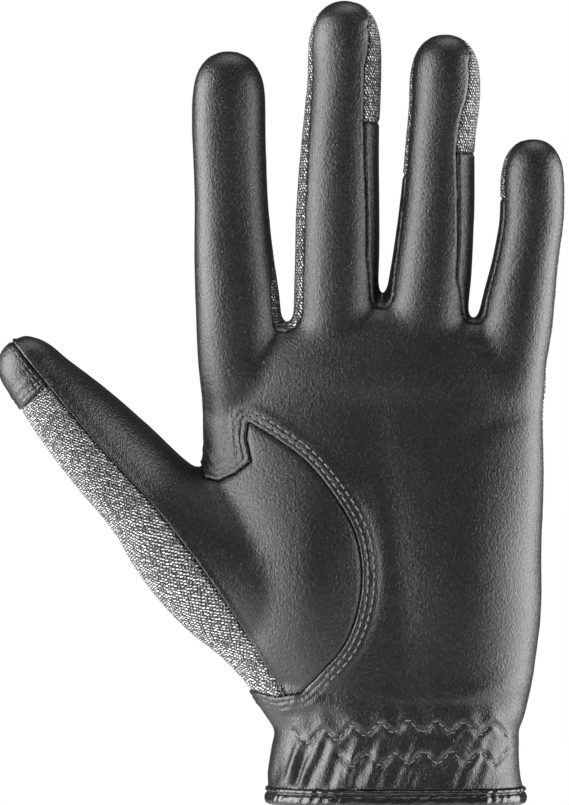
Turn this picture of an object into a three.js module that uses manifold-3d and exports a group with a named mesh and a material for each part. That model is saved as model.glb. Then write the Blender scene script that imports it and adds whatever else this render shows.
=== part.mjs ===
// Horse riding glove for the left hand, filled as if worn, palm towards -Y, fingers up.
// Millimetres, +Z up. The origin is the centre of the wrist opening, where the hand goes in.
// Every piece is first shaped with the hand held flat, then the fingers and the thumb curl forward.

import * as THREE from "three";
import { mergeVertices } from "three/addons/utils/BufferGeometryUtils.js";
import Module from "manifold-3d";

const wasm = await Module();
wasm.setup();

// Sizes of the hand part
const palmHeight = 118; // hem to the line of the finger roots
const palmWidth = 88;
const palmDepth = 29;
const wristHeight = 29; // hem to the heel of the hand
const wristWidth = 62;
const wristDepth = 37;
const knuckleArch = 3.1; // how far the finger roots rise above their line at the middle

// Sizes of the fingers and the thumb
const indexLength = 73.3;
const indexWidth = 21.4;
const middleLength = 86;
const middleWidth = 21.4;
const ringLength = 77.6;
const ringWidth = 21.2;
const littleLength = 51.3;
const littleWidth = 19.2;
const fingerDepthShare = 0.93;
const thumbLength = 87.5;
const thumbWidth = 33; // at its root, where it leaves the heel of the hand
const thumbAngle = 43; // degrees from upright
const thumbDepthShare = 0.9;

// Sizes of the materials and the sewing
const wall = 1.3;
const seamGap = 0.3;
const bindingHeight = 4.6;
const bindingRoll = 0.8; // how far the rolled binding stands out of the wrist
const bindingInset = 0.4; // how far the binding's inner face lies inside the wall's
const gatherHeight = 11.5;
const gatherProud = 1.3;

// How far the relaxed hand curls towards the palm side
const fingerCurlDepth = 11;
const thumbForwardDepth = 17;
const thenarSwellDepth = 6.5;
const hypothenarSwellDepth = 3;

const swellDepthShare = 0.6;
const curlStart = 0.75; // share of palmHeight
const curlPower = 1.7;
const thumbForwardStart = 0.86; // shares of half palmWidth
const thumbForwardEnd = 2.2;

// How finely the round walls are cut into flat faces
const handSides = 44;
const handInnerSides = 26;
const fingerSides = 14;
const fingerInnerSides = 10;
const tipSteps = 3;
const fingerRoundness = 2.2;
const handRoundness = 2.5;
const tipRoundness = 2.3;
const tipLengthShare = 1.42; // length of a rounded tip, as a share of the half width below it

const halfPalm = palmWidth / 2;
const halfDepth = palmDepth / 2;
const far = 2 * (palmHeight + middleLength);

// Wrist sections. up: share of wristHeight. thumbSide, littleSide: shares of half wristWidth.
// deep: share of half wristDepth.
const wristSections = [
  { up: 0.0, thumbSide: 1.045, littleSide: 1.045, deep: 1.08 },
  { up: 0.16, thumbSide: 1.045, littleSide: 1.04, deep: 1.07 },
  { up: 0.26, thumbSide: 1.055, littleSide: 1.016, deep: 1.04 },
  { up: 0.38, thumbSide: 1.03, littleSide: 1.003, deep: 1.01 },
  { up: 0.51, thumbSide: 1.013, littleSide: 1.003, deep: 1.0 },
  { up: 0.64, thumbSide: 0.997, littleSide: 1.02, deep: 0.98 },
  { up: 0.76, thumbSide: 1.06, littleSide: 1.045, deep: 0.96 },
  { up: 0.9, thumbSide: 1.15, littleSide: 1.087, deep: 0.93 },
];

// Palm sections. up: share of palmHeight. thumbSide, littleSide: shares of half palmWidth.
// front, back: shares of half palmDepth. arch: how much of the arch of the finger roots it takes.
const palmSections = [
  { up: 0.254, thumbSide: 0.857, littleSide: 0.782, front: 1.15, back: 1.15, arch: 0 },
  { up: 0.322, thumbSide: 1.02, littleSide: 0.811, front: 1.12, back: 1.07, arch: 0 },
  { up: 0.415, thumbSide: 1.07, littleSide: 0.841, front: 1.09, back: 1.03, arch: 0 },
  { up: 0.542, thumbSide: 1.1, littleSide: 0.843, front: 1.06, back: 1.0, arch: 0 },
  { up: 0.712, thumbSide: 1.107, littleSide: 0.857, front: 1.01, back: 0.97, arch: 0 },
  { up: 0.85, thumbSide: 1.12, littleSide: 0.852, front: 0.88, back: 0.87, arch: 0.3 },
  { up: 0.93, thumbSide: 1.12, littleSide: 0.86, front: 0.77, back: 0.76, arch: 0.75 },
  { up: 0.99, thumbSide: 1.12, littleSide: 0.87, front: 0.67, back: 0.66, arch: 1 },
  { up: 1.03, thumbSide: 1.1, littleSide: 0.85, front: 0.5, back: 0.5, arch: 1 },
  { up: 1.05, thumbSide: 1.05, littleSide: 0.8, front: 0.28, back: 0.28, arch: 1 },
];

// Fingers. across: place of the root, share of half palmWidth. Sections: up is a share of the
// finger's length above its root line, aside and wide are shares of its width.
const fingers = {
  index: {
    length: indexLength,
    width: indexWidth,
    across: -0.909,
    sections: [
      { up: -0.5, aside: 0.12, wide: 0.6 },
      { up: -0.25, aside: 0.03, wide: 0.88 },
      { up: -0.05, aside: 0.0, wide: 0.98 },
      { up: 0.14, aside: -0.014, wide: 1.0 },
      { up: 0.28, aside: -0.056, wide: 0.944 },
      { up: 0.49, aside: -0.089, wide: 0.869 },
      { up: 0.7, aside: -0.117, wide: 0.869 },
    ],
  },
  middle: {
    length: middleLength,
    width: middleWidth,
    across: -0.352,
    sections: [
      { up: -0.3, aside: 0, wide: 0.7 },
      { up: -0.08, aside: 0, wide: 0.92 },
      { up: 0.12, aside: 0.005, wide: 0.99 },
      { up: 0.238, aside: 0.023, wide: 1.0 },
      { up: 0.416, aside: 0.033, wide: 0.98 },
      { up: 0.593, aside: 0.06, wide: 0.916 },
      { up: 0.772, aside: 0.11, wide: 0.87 },
    ],
  },
  ring: {
    length: ringLength,
    width: ringWidth,
    across: 0.16,
    sections: [
      { up: -0.3, aside: -0.1, wide: 0.7 },
      { up: -0.08, aside: -0.04, wide: 0.92 },
      { up: 0.133, aside: 0.045, wide: 1.0 },
      { up: 0.264, aside: 0.102, wide: 0.962 },
      { up: 0.461, aside: 0.163, wide: 0.887 },
      { up: 0.657, aside: 0.198, wide: 0.83 },
      { up: 0.78, aside: 0.25, wide: 0.85 },
    ],
  },
  little: {
    length: littleLength,
    width: littleWidth,
    across: 0.67,
    sections: [
      { up: -0.7, aside: -0.3, wide: 0.6 },
      { up: -0.35, aside: -0.12, wide: 0.88 },
      { up: -0.1, aside: -0.02, wide: 0.98 },
      { up: 0.1, aside: 0.052, wide: 1.0 },
      { up: 0.2, aside: 0.089, wide: 0.969 },
      { up: 0.4, aside: 0.182, wide: 0.88 },
      { up: 0.6, aside: 0.271, wide: 0.854 },
    ],
  },
};

// Thumb. along: share of thumbLength from its root, wide: share of thumbWidth.
const thumbRoot = { across: -0.88, up: 0.448 };
const thumbSections = [
  { along: -0.16, wide: 0.78 },
  { along: 0.0, wide: 0.97 },
  { along: 0.123, wide: 1.0 },
  { along: 0.281, wide: 0.915 },
  { along: 0.392, wide: 0.776 },
  { along: 0.544, wide: 0.724 },
  { along: 0.714, wide: 0.636 },
  { along: 0.866, wide: 0.503 },
];

// Places between two fingers, clear of both. across: share of half palmWidth.
const fingerGaps = { indexMiddle: -0.63, middleRing: -0.075, ringLittle: 0.49 };
const archPeak = -0.075;
const archFallThumb = 10.4; // share of knuckleArch, at one half palmWidth to the thumb side
const archFallLittle = 9.0;

// Seams on the two sides of each finger. join: where a leather side strip ends and the knit
// of the back takes over, null where the strip is knit up to the tip. Levels: up is a share of
// the finger's length, level a share of its half depth, negative towards the palm. The side seam
// of the palm below the fingers has its own levels, in millimetres.
const strips = [
  {
    finger: "index", join: null,
    levels: [
      { up: -0.2, level: 0.6 }, { up: 0.6, level: 0.6 }, { up: 0.9, level: 0.3 }, { up: 1, level: 0 },
    ],
  },
  {
    finger: "index", join: null,
    levels: [
      { up: 0.16, level: -0.6 }, { up: 0.25, level: -0.35 }, { up: 0.32, level: -0.05 },
      { up: 0.8, level: 0.1 }, { up: 1, level: 0 },
    ],
  },
  {
    finger: "middle", join: null,
    levels: [
      { up: 0.14, level: -0.6 }, { up: 0.45, level: -0.63 }, { up: 0.7, level: -0.45 },
      { up: 0.9, level: -0.33 }, { up: 1, level: 0 },
    ],
  },
  {
    finger: "middle", join: 0.64,
    levels: [
      { up: 0.14, level: -0.6 }, { up: 0.25, level: -0.76 }, { up: 0.8, level: -0.76 },
      { up: 0.92, level: -0.6 }, { up: 1, level: 0 },
    ],
  },
  {
    finger: "ring", join: 0.54,
    levels: [
      { up: 0.14, level: -0.6 }, { up: 0.22, level: -0.48 }, { up: 0.42, level: -0.36 },
      { up: 0.85, level: -0.27 }, { up: 1, level: 0 },
    ],
  },
  {
    finger: "ring", join: 0.61,
    levels: [
      { up: 0.1, level: -0.54 }, { up: 0.2, level: -0.8 }, { up: 0.75, level: -0.74 },
      { up: 0.9, level: -0.6 }, { up: 1, level: 0 },
    ],
  },
  {
    finger: "little", join: 0.7,
    levels: [
      { up: 0.1, level: -0.58 }, { up: 0.2, level: -0.5 }, { up: 0.6, level: -0.42 },
      { up: 0.9, level: -0.3 }, { up: 1, level: 0 },
    ],
  },
  {
    finger: "little", join: null,
    levels: [{ up: -0.2, level: -0.12 }, { up: 0.8, level: -0.12 }, { up: 1, level: 0 }],
  },
];
const backLevel = 0.6; // back edge of a side strip, share of the finger's half depth
const backTaper = 0.7; // where the back edge of a knit side strip starts to run to the fingertip
const sideSeams = {
  thumb: [{ up: 0.25, level: 0.14 }, { up: 0.7, level: 0.41 }, { up: 0.8, level: 0.41 }],
  little: [{ up: 0.25, level: 0.14 }, { up: 0.44, level: -0.07 }, { up: 0.8, level: -0.07 }],
};
const stripFoot = 0.953; // share of palmHeight, below the low places between the fingers

// Edge of the thumb gusset on the palm, from the thumb's low place round the ball of the thumb to
// the heel of the hand. across: share of half palmWidth, up: share of palmHeight.
const quirkOutline = [
  { across: -1.107, up: 0.706 },
  { across: -1.03, up: 0.697 },
  { across: -0.93, up: 0.713 },
  { across: -0.84, up: 0.74 },
  { across: -0.87, up: 0.79 },
];
const gussetArc = [
  { across: -0.857, up: 0.825 },
  { across: -0.7, up: 0.79 },
  { across: -0.52, up: 0.74 },
  { across: -0.36, up: 0.668 },
  { across: -0.235, up: 0.585 },
  { across: -0.198, up: 0.505 },
  { across: -0.215, up: 0.43 },
  { across: -0.3, up: 0.345 },
  { across: -0.45, up: 0.28 },
];
const heelOutline = [
  { across: -0.55, up: 0.243 },
  { across: -0.69, up: 0.233 },
  { across: -0.84, up: 0.244 },
];
// Edge of the thumb on the back of the hand, from its low place down to the heel.
const thumbBackOutline = [
  { across: -1.107, up: 0.706 },
  { across: -0.97, up: 0.6 },
  { across: -0.87, up: 0.45 },
  { across: -0.8, up: 0.32 },
  { across: -0.84, up: 0.244 },
];
// A place in the open gap between the thumb and the index finger.
const thumbGap = { across: -1.36, up: 1.1 };
const arcSteps = 14;
const sharpestCorner = 0.4;
const crumbVolume = 2; // cubic millimetres
const overlap = 0.02; // how far neighbouring cutting regions reach into each other
// Long seam of the thumb between leather and knit. along: share of thumbLength from the thumb's
// root, aside: share of thumbWidth, towards the index finger.
const thumbSeam = [
  { along: 1.02, aside: 0.05 },
  { along: 0.8, aside: 0.01 },
  { along: 0.6, aside: -0.02 },
  { along: 0.35, aside: -0.03 },
  { along: 0.1, aside: -0.1 },
  { along: -0.15, aside: -0.22 },
  { along: -0.4, aside: -0.38 },
];
const thumbBackDepth = 4; // height of the leather's edge on the back of the thumb
const tipPatchAlong = 0.835; // lower end of the leather patch on the thumb tip

// Join of the knit back and the leather at the back of the wrist, share of palmHeight.
const wristJoinThumbSide = 0.25;
const wristJoinLittleSide = 0.44;

// Gathers at the wrist. across: place at the hem, share of half wristWidth. lean: sideways reach
// to the top, share of gatherHeight. rise: share of gatherHeight. proud: share of gatherProud.
const gathers = [
  { across: -0.93, lean: 0.25, rise: 1.0, proud: 0.8 },
  { across: -0.8, lean: 0.3, rise: 1.0, proud: 1.0 },
  { across: -0.66, lean: 0.3, rise: 0.95, proud: 1.0 },
  { across: -0.51, lean: 0.3, rise: 0.95, proud: 0.9 },
  { across: -0.36, lean: 0.25, rise: 0.9, proud: 0.8 },
  { across: -0.2, lean: 0.2, rise: 0.85, proud: 0.6 },
  { across: 0.0, lean: 0.1, rise: 0.8, proud: 0.45 },
  { across: 0.2, lean: 0.0, rise: 0.8, proud: 0.4 },
  { across: 0.42, lean: 0.0, rise: 0.8, proud: 0.4 },
  { across: 0.64, lean: -0.1, rise: 0.8, proud: 0.4 },
  { across: 0.83, lean: -0.1, rise: 0.8, proud: 0.4 },
];
const gatherWidthShare = 0.3; // of gatherHeight
const gatherSteps = 4;
const gatherFoot = 0.2; // where on a half wave the ridge starts and how much of it the ridge spans
const gatherWave = 0.7;
const gatherCrest = 1 / 3; // width of a ridge's crest, as a share of the ridge's width

// Rolled profile of the hem binding. up: share of bindingHeight, out: share of bindingRoll.
const bindingProfile = [
  { up: 0.0, out: 0.1 },
  { up: 0.14, out: 0.9 },
  { up: 0.4, out: 1.2 },
  { up: 0.62, out: 0.9 },
  { up: 0.72, out: 0.2 },
  { up: 0.84, out: 0.7 },
  { up: 0.94, out: 0.3 },
];

// Value of one column of a table at a place between its rows.
function readTable(rows, key, column, place) {
  if (place <= rows[0][key]) {
    return rows[0][column];
  }
  for (let i = 1; i < rows.length; i += 1) {
    if (place <= rows[i][key]) {
      const share = (place - rows[i - 1][key]) / (rows[i][key] - rows[i - 1][key]);
      return THREE.MathUtils.lerp(rows[i - 1][column], rows[i][column], share);
    }
  }
  return rows[rows.length - 1][column];
}

// Closed solid from a list of rings, each a list of the same number of points, first ring lowest.
// The two ends are closed by strips across them, which follow the bend of the end rings.
function loft(rings) {
  const sides = rings[0].length;
  const points = rings.flat();
  const triangles = [];
  for (let row = 0; row + 1 < rings.length; row += 1) {
    for (let i = 0; i < sides; i += 1) {
      const a = row * sides + i;
      const b = row * sides + ((i + 1) % sides);
      triangles.push(a, b, b + sides, a, b + sides, a + sides);
    }
  }
  const top = (rings.length - 1) * sides;
  const close = (a, b, c) => triangles.push(a, c, b, top + a, top + b, top + c);
  for (let low = 0, high = sides - 1; low + 1 < high; low += 1, high -= 1) {
    close(low, low + 1, high);
    if (low + 2 < high) close(low + 1, high - 1, high);
  }
  return solidFrom(points.flatMap((point) => point.toArray()), triangles);
}

// Solid from flat lists of coordinates and corner numbers.
function solidFrom(coordinates, triangles) {
  const mesh = new wasm.Mesh({
    numProp: 3,
    vertProperties: new Float32Array(coordinates),
    triVerts: new Uint32Array(triangles),
  });
  return new wasm.Manifold(mesh);
}

// Outline of [u, v] points pushed from one place to another along an axis. Along "x" u is y and
// v is z. Along "y" u is x and v is z.
function prism(outline, axis, from, to) {
  const shape = new THREE.Shape(outline.map(([u, v]) => new THREE.Vector2(u, v)));
  const geometry = new THREE.ExtrudeGeometry(shape, { depth: to - from, bevelEnabled: false });
  geometry.deleteAttribute("normal");
  geometry.deleteAttribute("uv");
  const turn = new THREE.Matrix4();
  if (axis === "x") {
    turn.set(0, 0, 1, from, 1, 0, 0, 0, 0, 1, 0, 0, 0, 0, 0, 1);
  } else {
    turn.set(1, 0, 0, 0, 0, 0, -1, to, 0, 1, 0, 0, 0, 0, 0, 1);
  }
  geometry.applyMatrix4(turn);
  const merged = mergeVertices(geometry);
  return solidFrom(merged.attributes.position.array, merged.index.array);
}

function join(solids) {
  return solids.reduce((whole, solid) => whole.add(solid));
}

// Section of the hand, a round-cornered oval. thumbSide, littleSide, front and back are lengths
// from the middle line, and shift moves a point up by its place across.
function handRing(sides, height, thumbSide, littleSide, front, back, inset, shift) {
  const ring = [];
  const centre = (littleSide - thumbSide) / 2;
  const half = (littleSide + thumbSide) / 2 - inset;
  for (let i = 0; i < sides; i += 1) {
    const angle = (2 * Math.PI * i) / sides;
    const cos = Math.cos(angle);
    const sin = Math.sin(angle);
    const deep = (sin < 0 ? front : back) - inset;
    const x = centre + half * Math.sign(cos) * Math.abs(cos) ** (2 / handRoundness);
    const y = deep * Math.sign(sin) * Math.abs(sin) ** (2 / handRoundness);
    ring.push(new THREE.Vector3(x, y, height + shift(x)));
  }
  return ring;
}

// Rise of the finger roots above their line at a place across the hand.
function archRise(x) {
  const away = x / halfPalm - archPeak;
  const fall = away < 0 ? archFallThumb : archFallLittle;
  return knuckleArch * (1 - (away * away * fall) / 2);
}

// Lengths of one hand section, at a height above the hem.
function handSectionAt(height) {
  if (height < palmSections[0].up * palmHeight) {
    const up = height / wristHeight;
    const read = (column) => readTable(wristSections, "up", column, up);
    return {
      thumbSide: (read("thumbSide") * wristWidth) / 2,
      littleSide: (read("littleSide") * wristWidth) / 2,
      front: (read("deep") * wristDepth) / 2,
      back: (read("deep") * wristDepth) / 2,
      arch: 0,
    };
  }
  const up = height / palmHeight;
  const read = (column) => readTable(palmSections, "up", column, up);
  return {
    thumbSide: read("thumbSide") * halfPalm,
    littleSide: read("littleSide") * halfPalm,
    front: read("front") * halfDepth,
    back: read("back") * halfDepth,
    arch: read("arch"),
  };
}

// The hand without fingers, from one height up, with its top closed.
function handSolid(inset, sides, lowest) {
  const heights = [
    ...wristSections.map((row) => row.up * wristHeight),
    ...palmSections.map((row) => row.up * palmHeight),
  ].filter((height) => height > lowest);
  const rings = [lowest, ...heights].map((height) => {
    const section = handSectionAt(Math.max(height, 0));
    const shift = (x) => section.arch * archRise(x);
    const { thumbSide, littleSide, front, back } = section;
    const raised = height - inset * section.arch;
    return handRing(sides, raised, thumbSide, littleSide, front, back, inset, shift);
  });
  return loft(rings);
}

// Half width along a rounded tip that starts at one place and ends at another.
function tipHalf(half, start, end, place) {
  const share = (place - start) / (end - start);
  return half * (1 - share ** tipRoundness) ** (1 / tipRoundness);
}

// Places along a rounded tip, closer together towards its end.
function tipPlaces(start, end) {
  const places = [];
  for (let i = 1; i <= tipSteps; i += 1) {
    places.push(start + (end - start) * Math.sin((Math.PI / 2) * (i / (tipSteps + 0.35))));
  }
  return places;
}

function fingerTop(finger) {
  return palmHeight + finger.length;
}

// Middle of a finger across the hand at a height.
function fingerAcross(finger, height) {
  const up = (height - palmHeight) / finger.length;
  return finger.across * halfPalm + readTable(finger.sections, "up", "aside", up) * finger.width;
}

function fingerTip(finger) {
  return fingerAcross(finger, fingerTop(finger));
}

// One finger, with level oval sections and a rounded tip.
function fingerSolid(finger, inset, sides) {
  const lastRow = finger.sections[finger.sections.length - 1];
  const lastHalf = (lastRow.wide * finger.width) / 2;
  const top = fingerTop(finger);
  const tipStart = top - tipLengthShare * lastHalf;
  const rowHeights = finger.sections.map((row) => palmHeight + row.up * finger.length);
  const heights = [...rowHeights, tipStart].map((height) => {
    const up = (height - palmHeight) / finger.length;
    return { height, half: (readTable(finger.sections, "up", "wide", up) * finger.width) / 2 };
  });
  tipPlaces(tipStart, top).forEach((height) => {
    heights.push({ height, half: tipHalf(lastHalf, tipStart, top, height) });
  });
  const tipShare = (lastHalf - inset) / lastHalf;
  const rings = heights.map(({ height, half }) => {
    const beyond = Math.max(height - tipStart, 0);
    const z = height - beyond + beyond * tipShare;
    const reach = beyond > 0 ? half * tipShare : half - inset;
    return ovalRing(sides, (cos, sin) => new THREE.Vector3(
      fingerAcross(finger, height) + reach * cos,
      reach * fingerDepthShare * sin,
      z,
    ));
  });
  return loft(rings);
}

// Points of an oval, each placed by a function of its two directions.
function ovalRing(sides, place) {
  const ring = [];
  for (let i = 0; i < sides; i += 1) {
    const angle = (2 * Math.PI * (i + 0.5)) / sides;
    const cos = Math.cos(angle);
    const sin = Math.sin(angle);
    ring.push(place(
      Math.sign(cos) * Math.abs(cos) ** (2 / fingerRoundness),
      Math.sign(sin) * Math.abs(sin) ** (2 / fingerRoundness),
    ));
  }
  return ring;
}

const thumbTurn = THREE.MathUtils.degToRad(thumbAngle);
const thumbAxis = new THREE.Vector3(-Math.sin(thumbTurn), 0, Math.cos(thumbTurn));
const thumbSide = new THREE.Vector3(Math.cos(thumbTurn), 0, Math.sin(thumbTurn));
const thumbStart = new THREE.Vector3(thumbRoot.across * halfPalm, 0, thumbRoot.up * palmHeight);

// Place in the plane of the hand from lengths along the thumb and aside of it.
function thumbPlace(along, aside) {
  return thumbStart.clone().addScaledVector(thumbAxis, along).addScaledVector(thumbSide, aside);
}

// The thumb, with oval sections square to its own axis and a rounded tip.
function thumbSolid(inset, sides) {
  const lastRow = thumbSections[thumbSections.length - 1];
  const tipStart = lastRow.along * thumbLength;
  const lastHalf = (lastRow.wide * thumbWidth) / 2;
  const tipEnd = tipStart + tipLengthShare * lastHalf;
  const rows = thumbSections.map((row) => ({
    along: row.along * thumbLength,
    half: (row.wide * thumbWidth) / 2,
  }));
  tipPlaces(tipStart, tipEnd).forEach((along) => {
    rows.push({ along, half: tipHalf(lastHalf, tipStart, tipEnd, along) });
  });
  const tipShare = (lastHalf - inset) / lastHalf;
  const rings = rows.map(({ along, half }) => {
    const beyond = Math.max(along - tipStart, 0);
    const reach = beyond > 0 ? half * tipShare : half - inset;
    const centre = thumbPlace(along - beyond + beyond * tipShare, 0);
    return ovalRing(sides, (cos, sin) => {
      const point = centre.clone().addScaledVector(thumbSide, -reach * cos);
      point.y = -reach * thumbDepthShare * sin;
      return point;
    });
  });
  return loft(rings);
}

// Place of the palm's front face at a point of the front view.
function frontFace(x, height) {
  const { thumbSide: left, littleSide: right, front } = handSectionAt(height);
  const share = Math.min(Math.abs(x - (right - left) / 2) / ((right + left) / 2), 1);
  return -front * (1 - share ** handRoundness) ** (1 / handRoundness);
}

// One soft ridge where the elastic of the wrist bunches the leather.
function gatherRidge(row) {
  const rings = [];
  const halfRidge = (gatherWidthShare * gatherHeight) / 2;
  for (let i = 0; i <= gatherSteps; i += 1) {
    const share = i / gatherSteps;
    const height = bindingHeight + seamGap / 2 + share * row.rise * gatherHeight;
    const x = (row.across * wristWidth) / 2 + share * row.lean * gatherHeight;
    const crest = row.proud * gatherProud * Math.sin(Math.PI * (gatherFoot + gatherWave * share));
    const root = wall / 2;
    const slope = (frontFace(x + halfRidge, height) - frontFace(x - halfRidge, height)) / 2;
    const middle = frontFace(x, height);
    rings.push([
      new THREE.Vector3(x - halfRidge, middle - slope + root, height),
      new THREE.Vector3(x - halfRidge * gatherCrest, middle - slope * gatherCrest - crest, height),
      new THREE.Vector3(x + halfRidge * gatherCrest, middle + slope * gatherCrest - crest, height),
      new THREE.Vector3(x + halfRidge, middle + slope + root, height),
    ]);
  }
  return loft(rings);
}

// Whole glove as one wall, before it is cut into its panels.
function gloveShell() {
  const lowest = bindingHeight + seamGap / 2;
  const bodies = (inset, handFaces, fingerFaces, start) => [
    handSolid(inset, handFaces, start),
    ...Object.values(fingers).map((finger) => fingerSolid(finger, inset, fingerFaces)),
    thumbSolid(inset, fingerFaces),
  ];
  const outside = join([...bodies(0, handSides, fingerSides, lowest), ...gathers.map(gatherRidge)]);
  const inside = join(bodies(wall, handInnerSides, fingerInnerSides, -wristHeight));
  return outside.subtract(inside);
}

// Bounds across the hand of the strips, which run from the middle of a finger to the next gap.
function stripBounds() {
  const gap = (name) => fingerGaps[name] * halfPalm;
  const tip = (name) => fingerTip(fingers[name]);
  return [
    -far, tip("index"), gap("indexMiddle"), tip("middle"), gap("middleRing"),
    tip("ring"), gap("ringLittle"), tip("little"), far,
  ];
}

// Points [level, height] of a strip's seam from below the hem to above the fingertip.
function seamLine(strip, grow) {
  const finger = fingers[strip.finger];
  const deep = (finger.width / 2) * fingerDepthShare;
  const side = sideSeams[finger.across < 0 ? "thumb" : "little"];
  const levels = strip.levels.map(({ up, level }) => {
    return [level * deep + grow, palmHeight + up * finger.length];
  });
  const foot = stripFoot * palmHeight;
  const lower = side.map(({ up, level }) => [level * halfDepth + grow, up * palmHeight]);
  const step = [[lower[lower.length - 1][0], foot], [levels[0][0], foot]];
  const line = [...lower, ...(levels[0][1] > foot ? step : []), ...levels];
  return [[line[0][0], -far], ...line, [line[line.length - 1][0], far]];
}

// Everything on the palm side of the seams.
function frontRegion(grow) {
  const bounds = stripBounds();
  return join(strips.map((strip, i) => {
    const line = seamLine(strip, grow);
    return prism([[-far, -far], ...line, [-far, far]], "x", bounds[i] - overlap, bounds[i + 1] + overlap);
  }));
}

// Region between two fingers that their side strips fill, up to the back seam, grown by a length.
function sideStrip(first, grow) {
  const bounds = stripBounds();
  return join([first, first + 1].map((i) => {
    const { finger: name, join: joinShare } = strips[i];
    const finger = fingers[name];
    const back = (backLevel * fingerDepthShare * finger.width) / 2 + grow;
    const knitToTip = joinShare === null;
    const end = palmHeight + (knitToTip ? 1 : joinShare) * finger.length + grow;
    const taper = palmHeight + backTaper * finger.length;
    const upper = knitToTip ? [[grow, end], [back, taper]] : [[back, end]];
    const foot = stripFoot * palmHeight;
    const outline = [[-far, foot], [-far, end], ...upper, [back, foot]];
    return prism(outline, "x", bounds[i], bounds[i + 1] + (i === first ? overlap : 0));
  }));
}

// Moves an outline outwards by a length.
function growOutline(outline, length) {
  const count = outline.length;
  const turn = Math.sign(THREE.ShapeUtils.area(outline.map(([u, v]) => new THREE.Vector2(u, v))));
  return outline.map(([u, v], i) => {
    const [pu, pv] = outline[(i + count - 1) % count];
    const [nu, nv] = outline[(i + 1) % count];
    const before = new THREE.Vector2(v - pv, pu - u).normalize();
    const after = new THREE.Vector2(nv - v, u - nu).normalize();
    const mean = before.clone().add(after).normalize();
    const reach = (turn * length) / Math.max(mean.dot(before), sharpestCorner);
    return [u + mean.x * reach, v + mean.y * reach];
  });
}

function palmPoint({ across, up }) {
  return [across * halfPalm, up * palmHeight];
}

// Smooth run of points through a few chosen ones.
function smooth(rows, steps) {
  const curve = new THREE.SplineCurve(rows.map((row) => new THREE.Vector2(...palmPoint(row))));
  return curve.getPoints(steps).map((point) => [point.x, point.y]);
}

// Region of the thumb and its gusset in front of and behind the plane of the hand.
function thumbRegion(grow) {
  const heel = heelOutline[heelOutline.length - 1].up * palmHeight;
  const aroundThumb = [[-far, heel], [-far, far], [thumbGap.across * halfPalm, far], palmPoint(thumbGap)];
  const quirk = quirkOutline.map(palmPoint);
  const front = [...quirk, ...smooth(gussetArc, arcSteps), ...heelOutline.map(palmPoint)];
  const back = smooth(thumbBackOutline, arcSteps);
  const frontPart = prism(growOutline([...front, ...aroundThumb], grow), "y", -far, overlap);
  const backPart = prism(growOutline([...back, ...aroundThumb], grow), "y", 0, far);
  return frontPart.add(backPart);
}

// Region of the thumb that is outside its long seam: its outer side and its back.
function thumbOuterRegion(grow) {
  const seam = thumbSeam.map(({ along, aside }) => thumbPlace(along * thumbLength, aside * thumbWidth));
  const line = [thumbPlace(far, 0), ...seam].map((point) => [point.x, point.z]);
  const foot = [line[line.length - 1][0], -far];
  const outer = prism(growOutline([...line, foot, [-far, -far], [-far, far]], grow), "y", -far, far);
  const everywhere = [[-far, -far], [far, -far], [far, far], [-far, far]];
  return outer.add(prism(everywhere, "y", thumbBackDepth - grow, far));
}

// Everything past a place along the thumb.
function thumbTipRegion(grow) {
  const along = tipPatchAlong * thumbLength - grow;
  const corners = [[along, -far], [far, -far], [far, far], [along, far]];
  const outline = corners.map(([length, aside]) => {
    const place = thumbPlace(length, aside);
    return [place.x, place.z];
  });
  return prism(outline, "y", -far, far);
}

// Everything below the join at the back of the wrist.
function wristRegion(grow) {
  const low = wristJoinThumbSide * palmHeight + grow;
  const high = wristJoinLittleSide * palmHeight + grow;
  const top = [[far, high], [halfPalm, high], [-halfPalm, low], [-far, low]];
  return prism([[-far, -far], [far, -far], ...top], "y", -far, far);
}

// Rolled band that binds the edge of the wrist.
function bindingSolid() {
  const rings = bindingProfile.map(({ up, out }) => {
    const height = up * bindingHeight;
    const { thumbSide: left, littleSide: right, front, back } = handSectionAt(height);
    return handRing(handSides, height, left, right, front, back, -out * bindingRoll, () => 0);
  });
  return loft(rings).subtract(handSolid(wall + bindingInset, handInnerSides, -wristHeight));
}

// Relaxes the flat hand: the balls of the thumb and of the little finger swell, the fingers curl
// and the thumb comes forward.
function relax(point) {
  const bulge = (swell, across, up, wide, tall) => {
    const u = (point.x / halfPalm - across) / wide;
    const v = (point.z / palmHeight - up) / tall;
    return swell * Math.exp(-u * u - v * v);
  };
  const ballOfThumb = bulge(thenarSwellDepth, -0.56, 0.5, 0.42, 0.2);
  const swell = ballOfThumb + bulge(hypothenarSwellDepth, 0.45, 0.48, 0.4, 0.2);
  const frontShare = THREE.MathUtils.smoothstep(-point.y, 0, swellDepthShare * halfDepth);
  const curl = Math.max(point.z / palmHeight - curlStart, 0) / (1 + middleLength / palmHeight - curlStart);
  const reach = thumbForwardEnd - thumbForwardStart;
  const forward = THREE.MathUtils.smoothstep(-point.x / halfPalm - thumbForwardStart, 0, reach);
  const shift = swell * frontShare + fingerCurlDepth * curl ** curlPower + thumbForwardDepth * forward;
  return new THREE.Vector3(point.x, point.y - shift, point.z);
}

const leather = new THREE.MeshStandardMaterial({ color: 0x1b1b1d, roughness: 0.5, metalness: 0 });
const knit = new THREE.MeshStandardMaterial({ color: 0x26262a, roughness: 0.85, metalness: 0 });
const binding = new THREE.MeshStandardMaterial({ color: 0x0c0c0d, roughness: 0.25, metalness: 0 });

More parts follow.
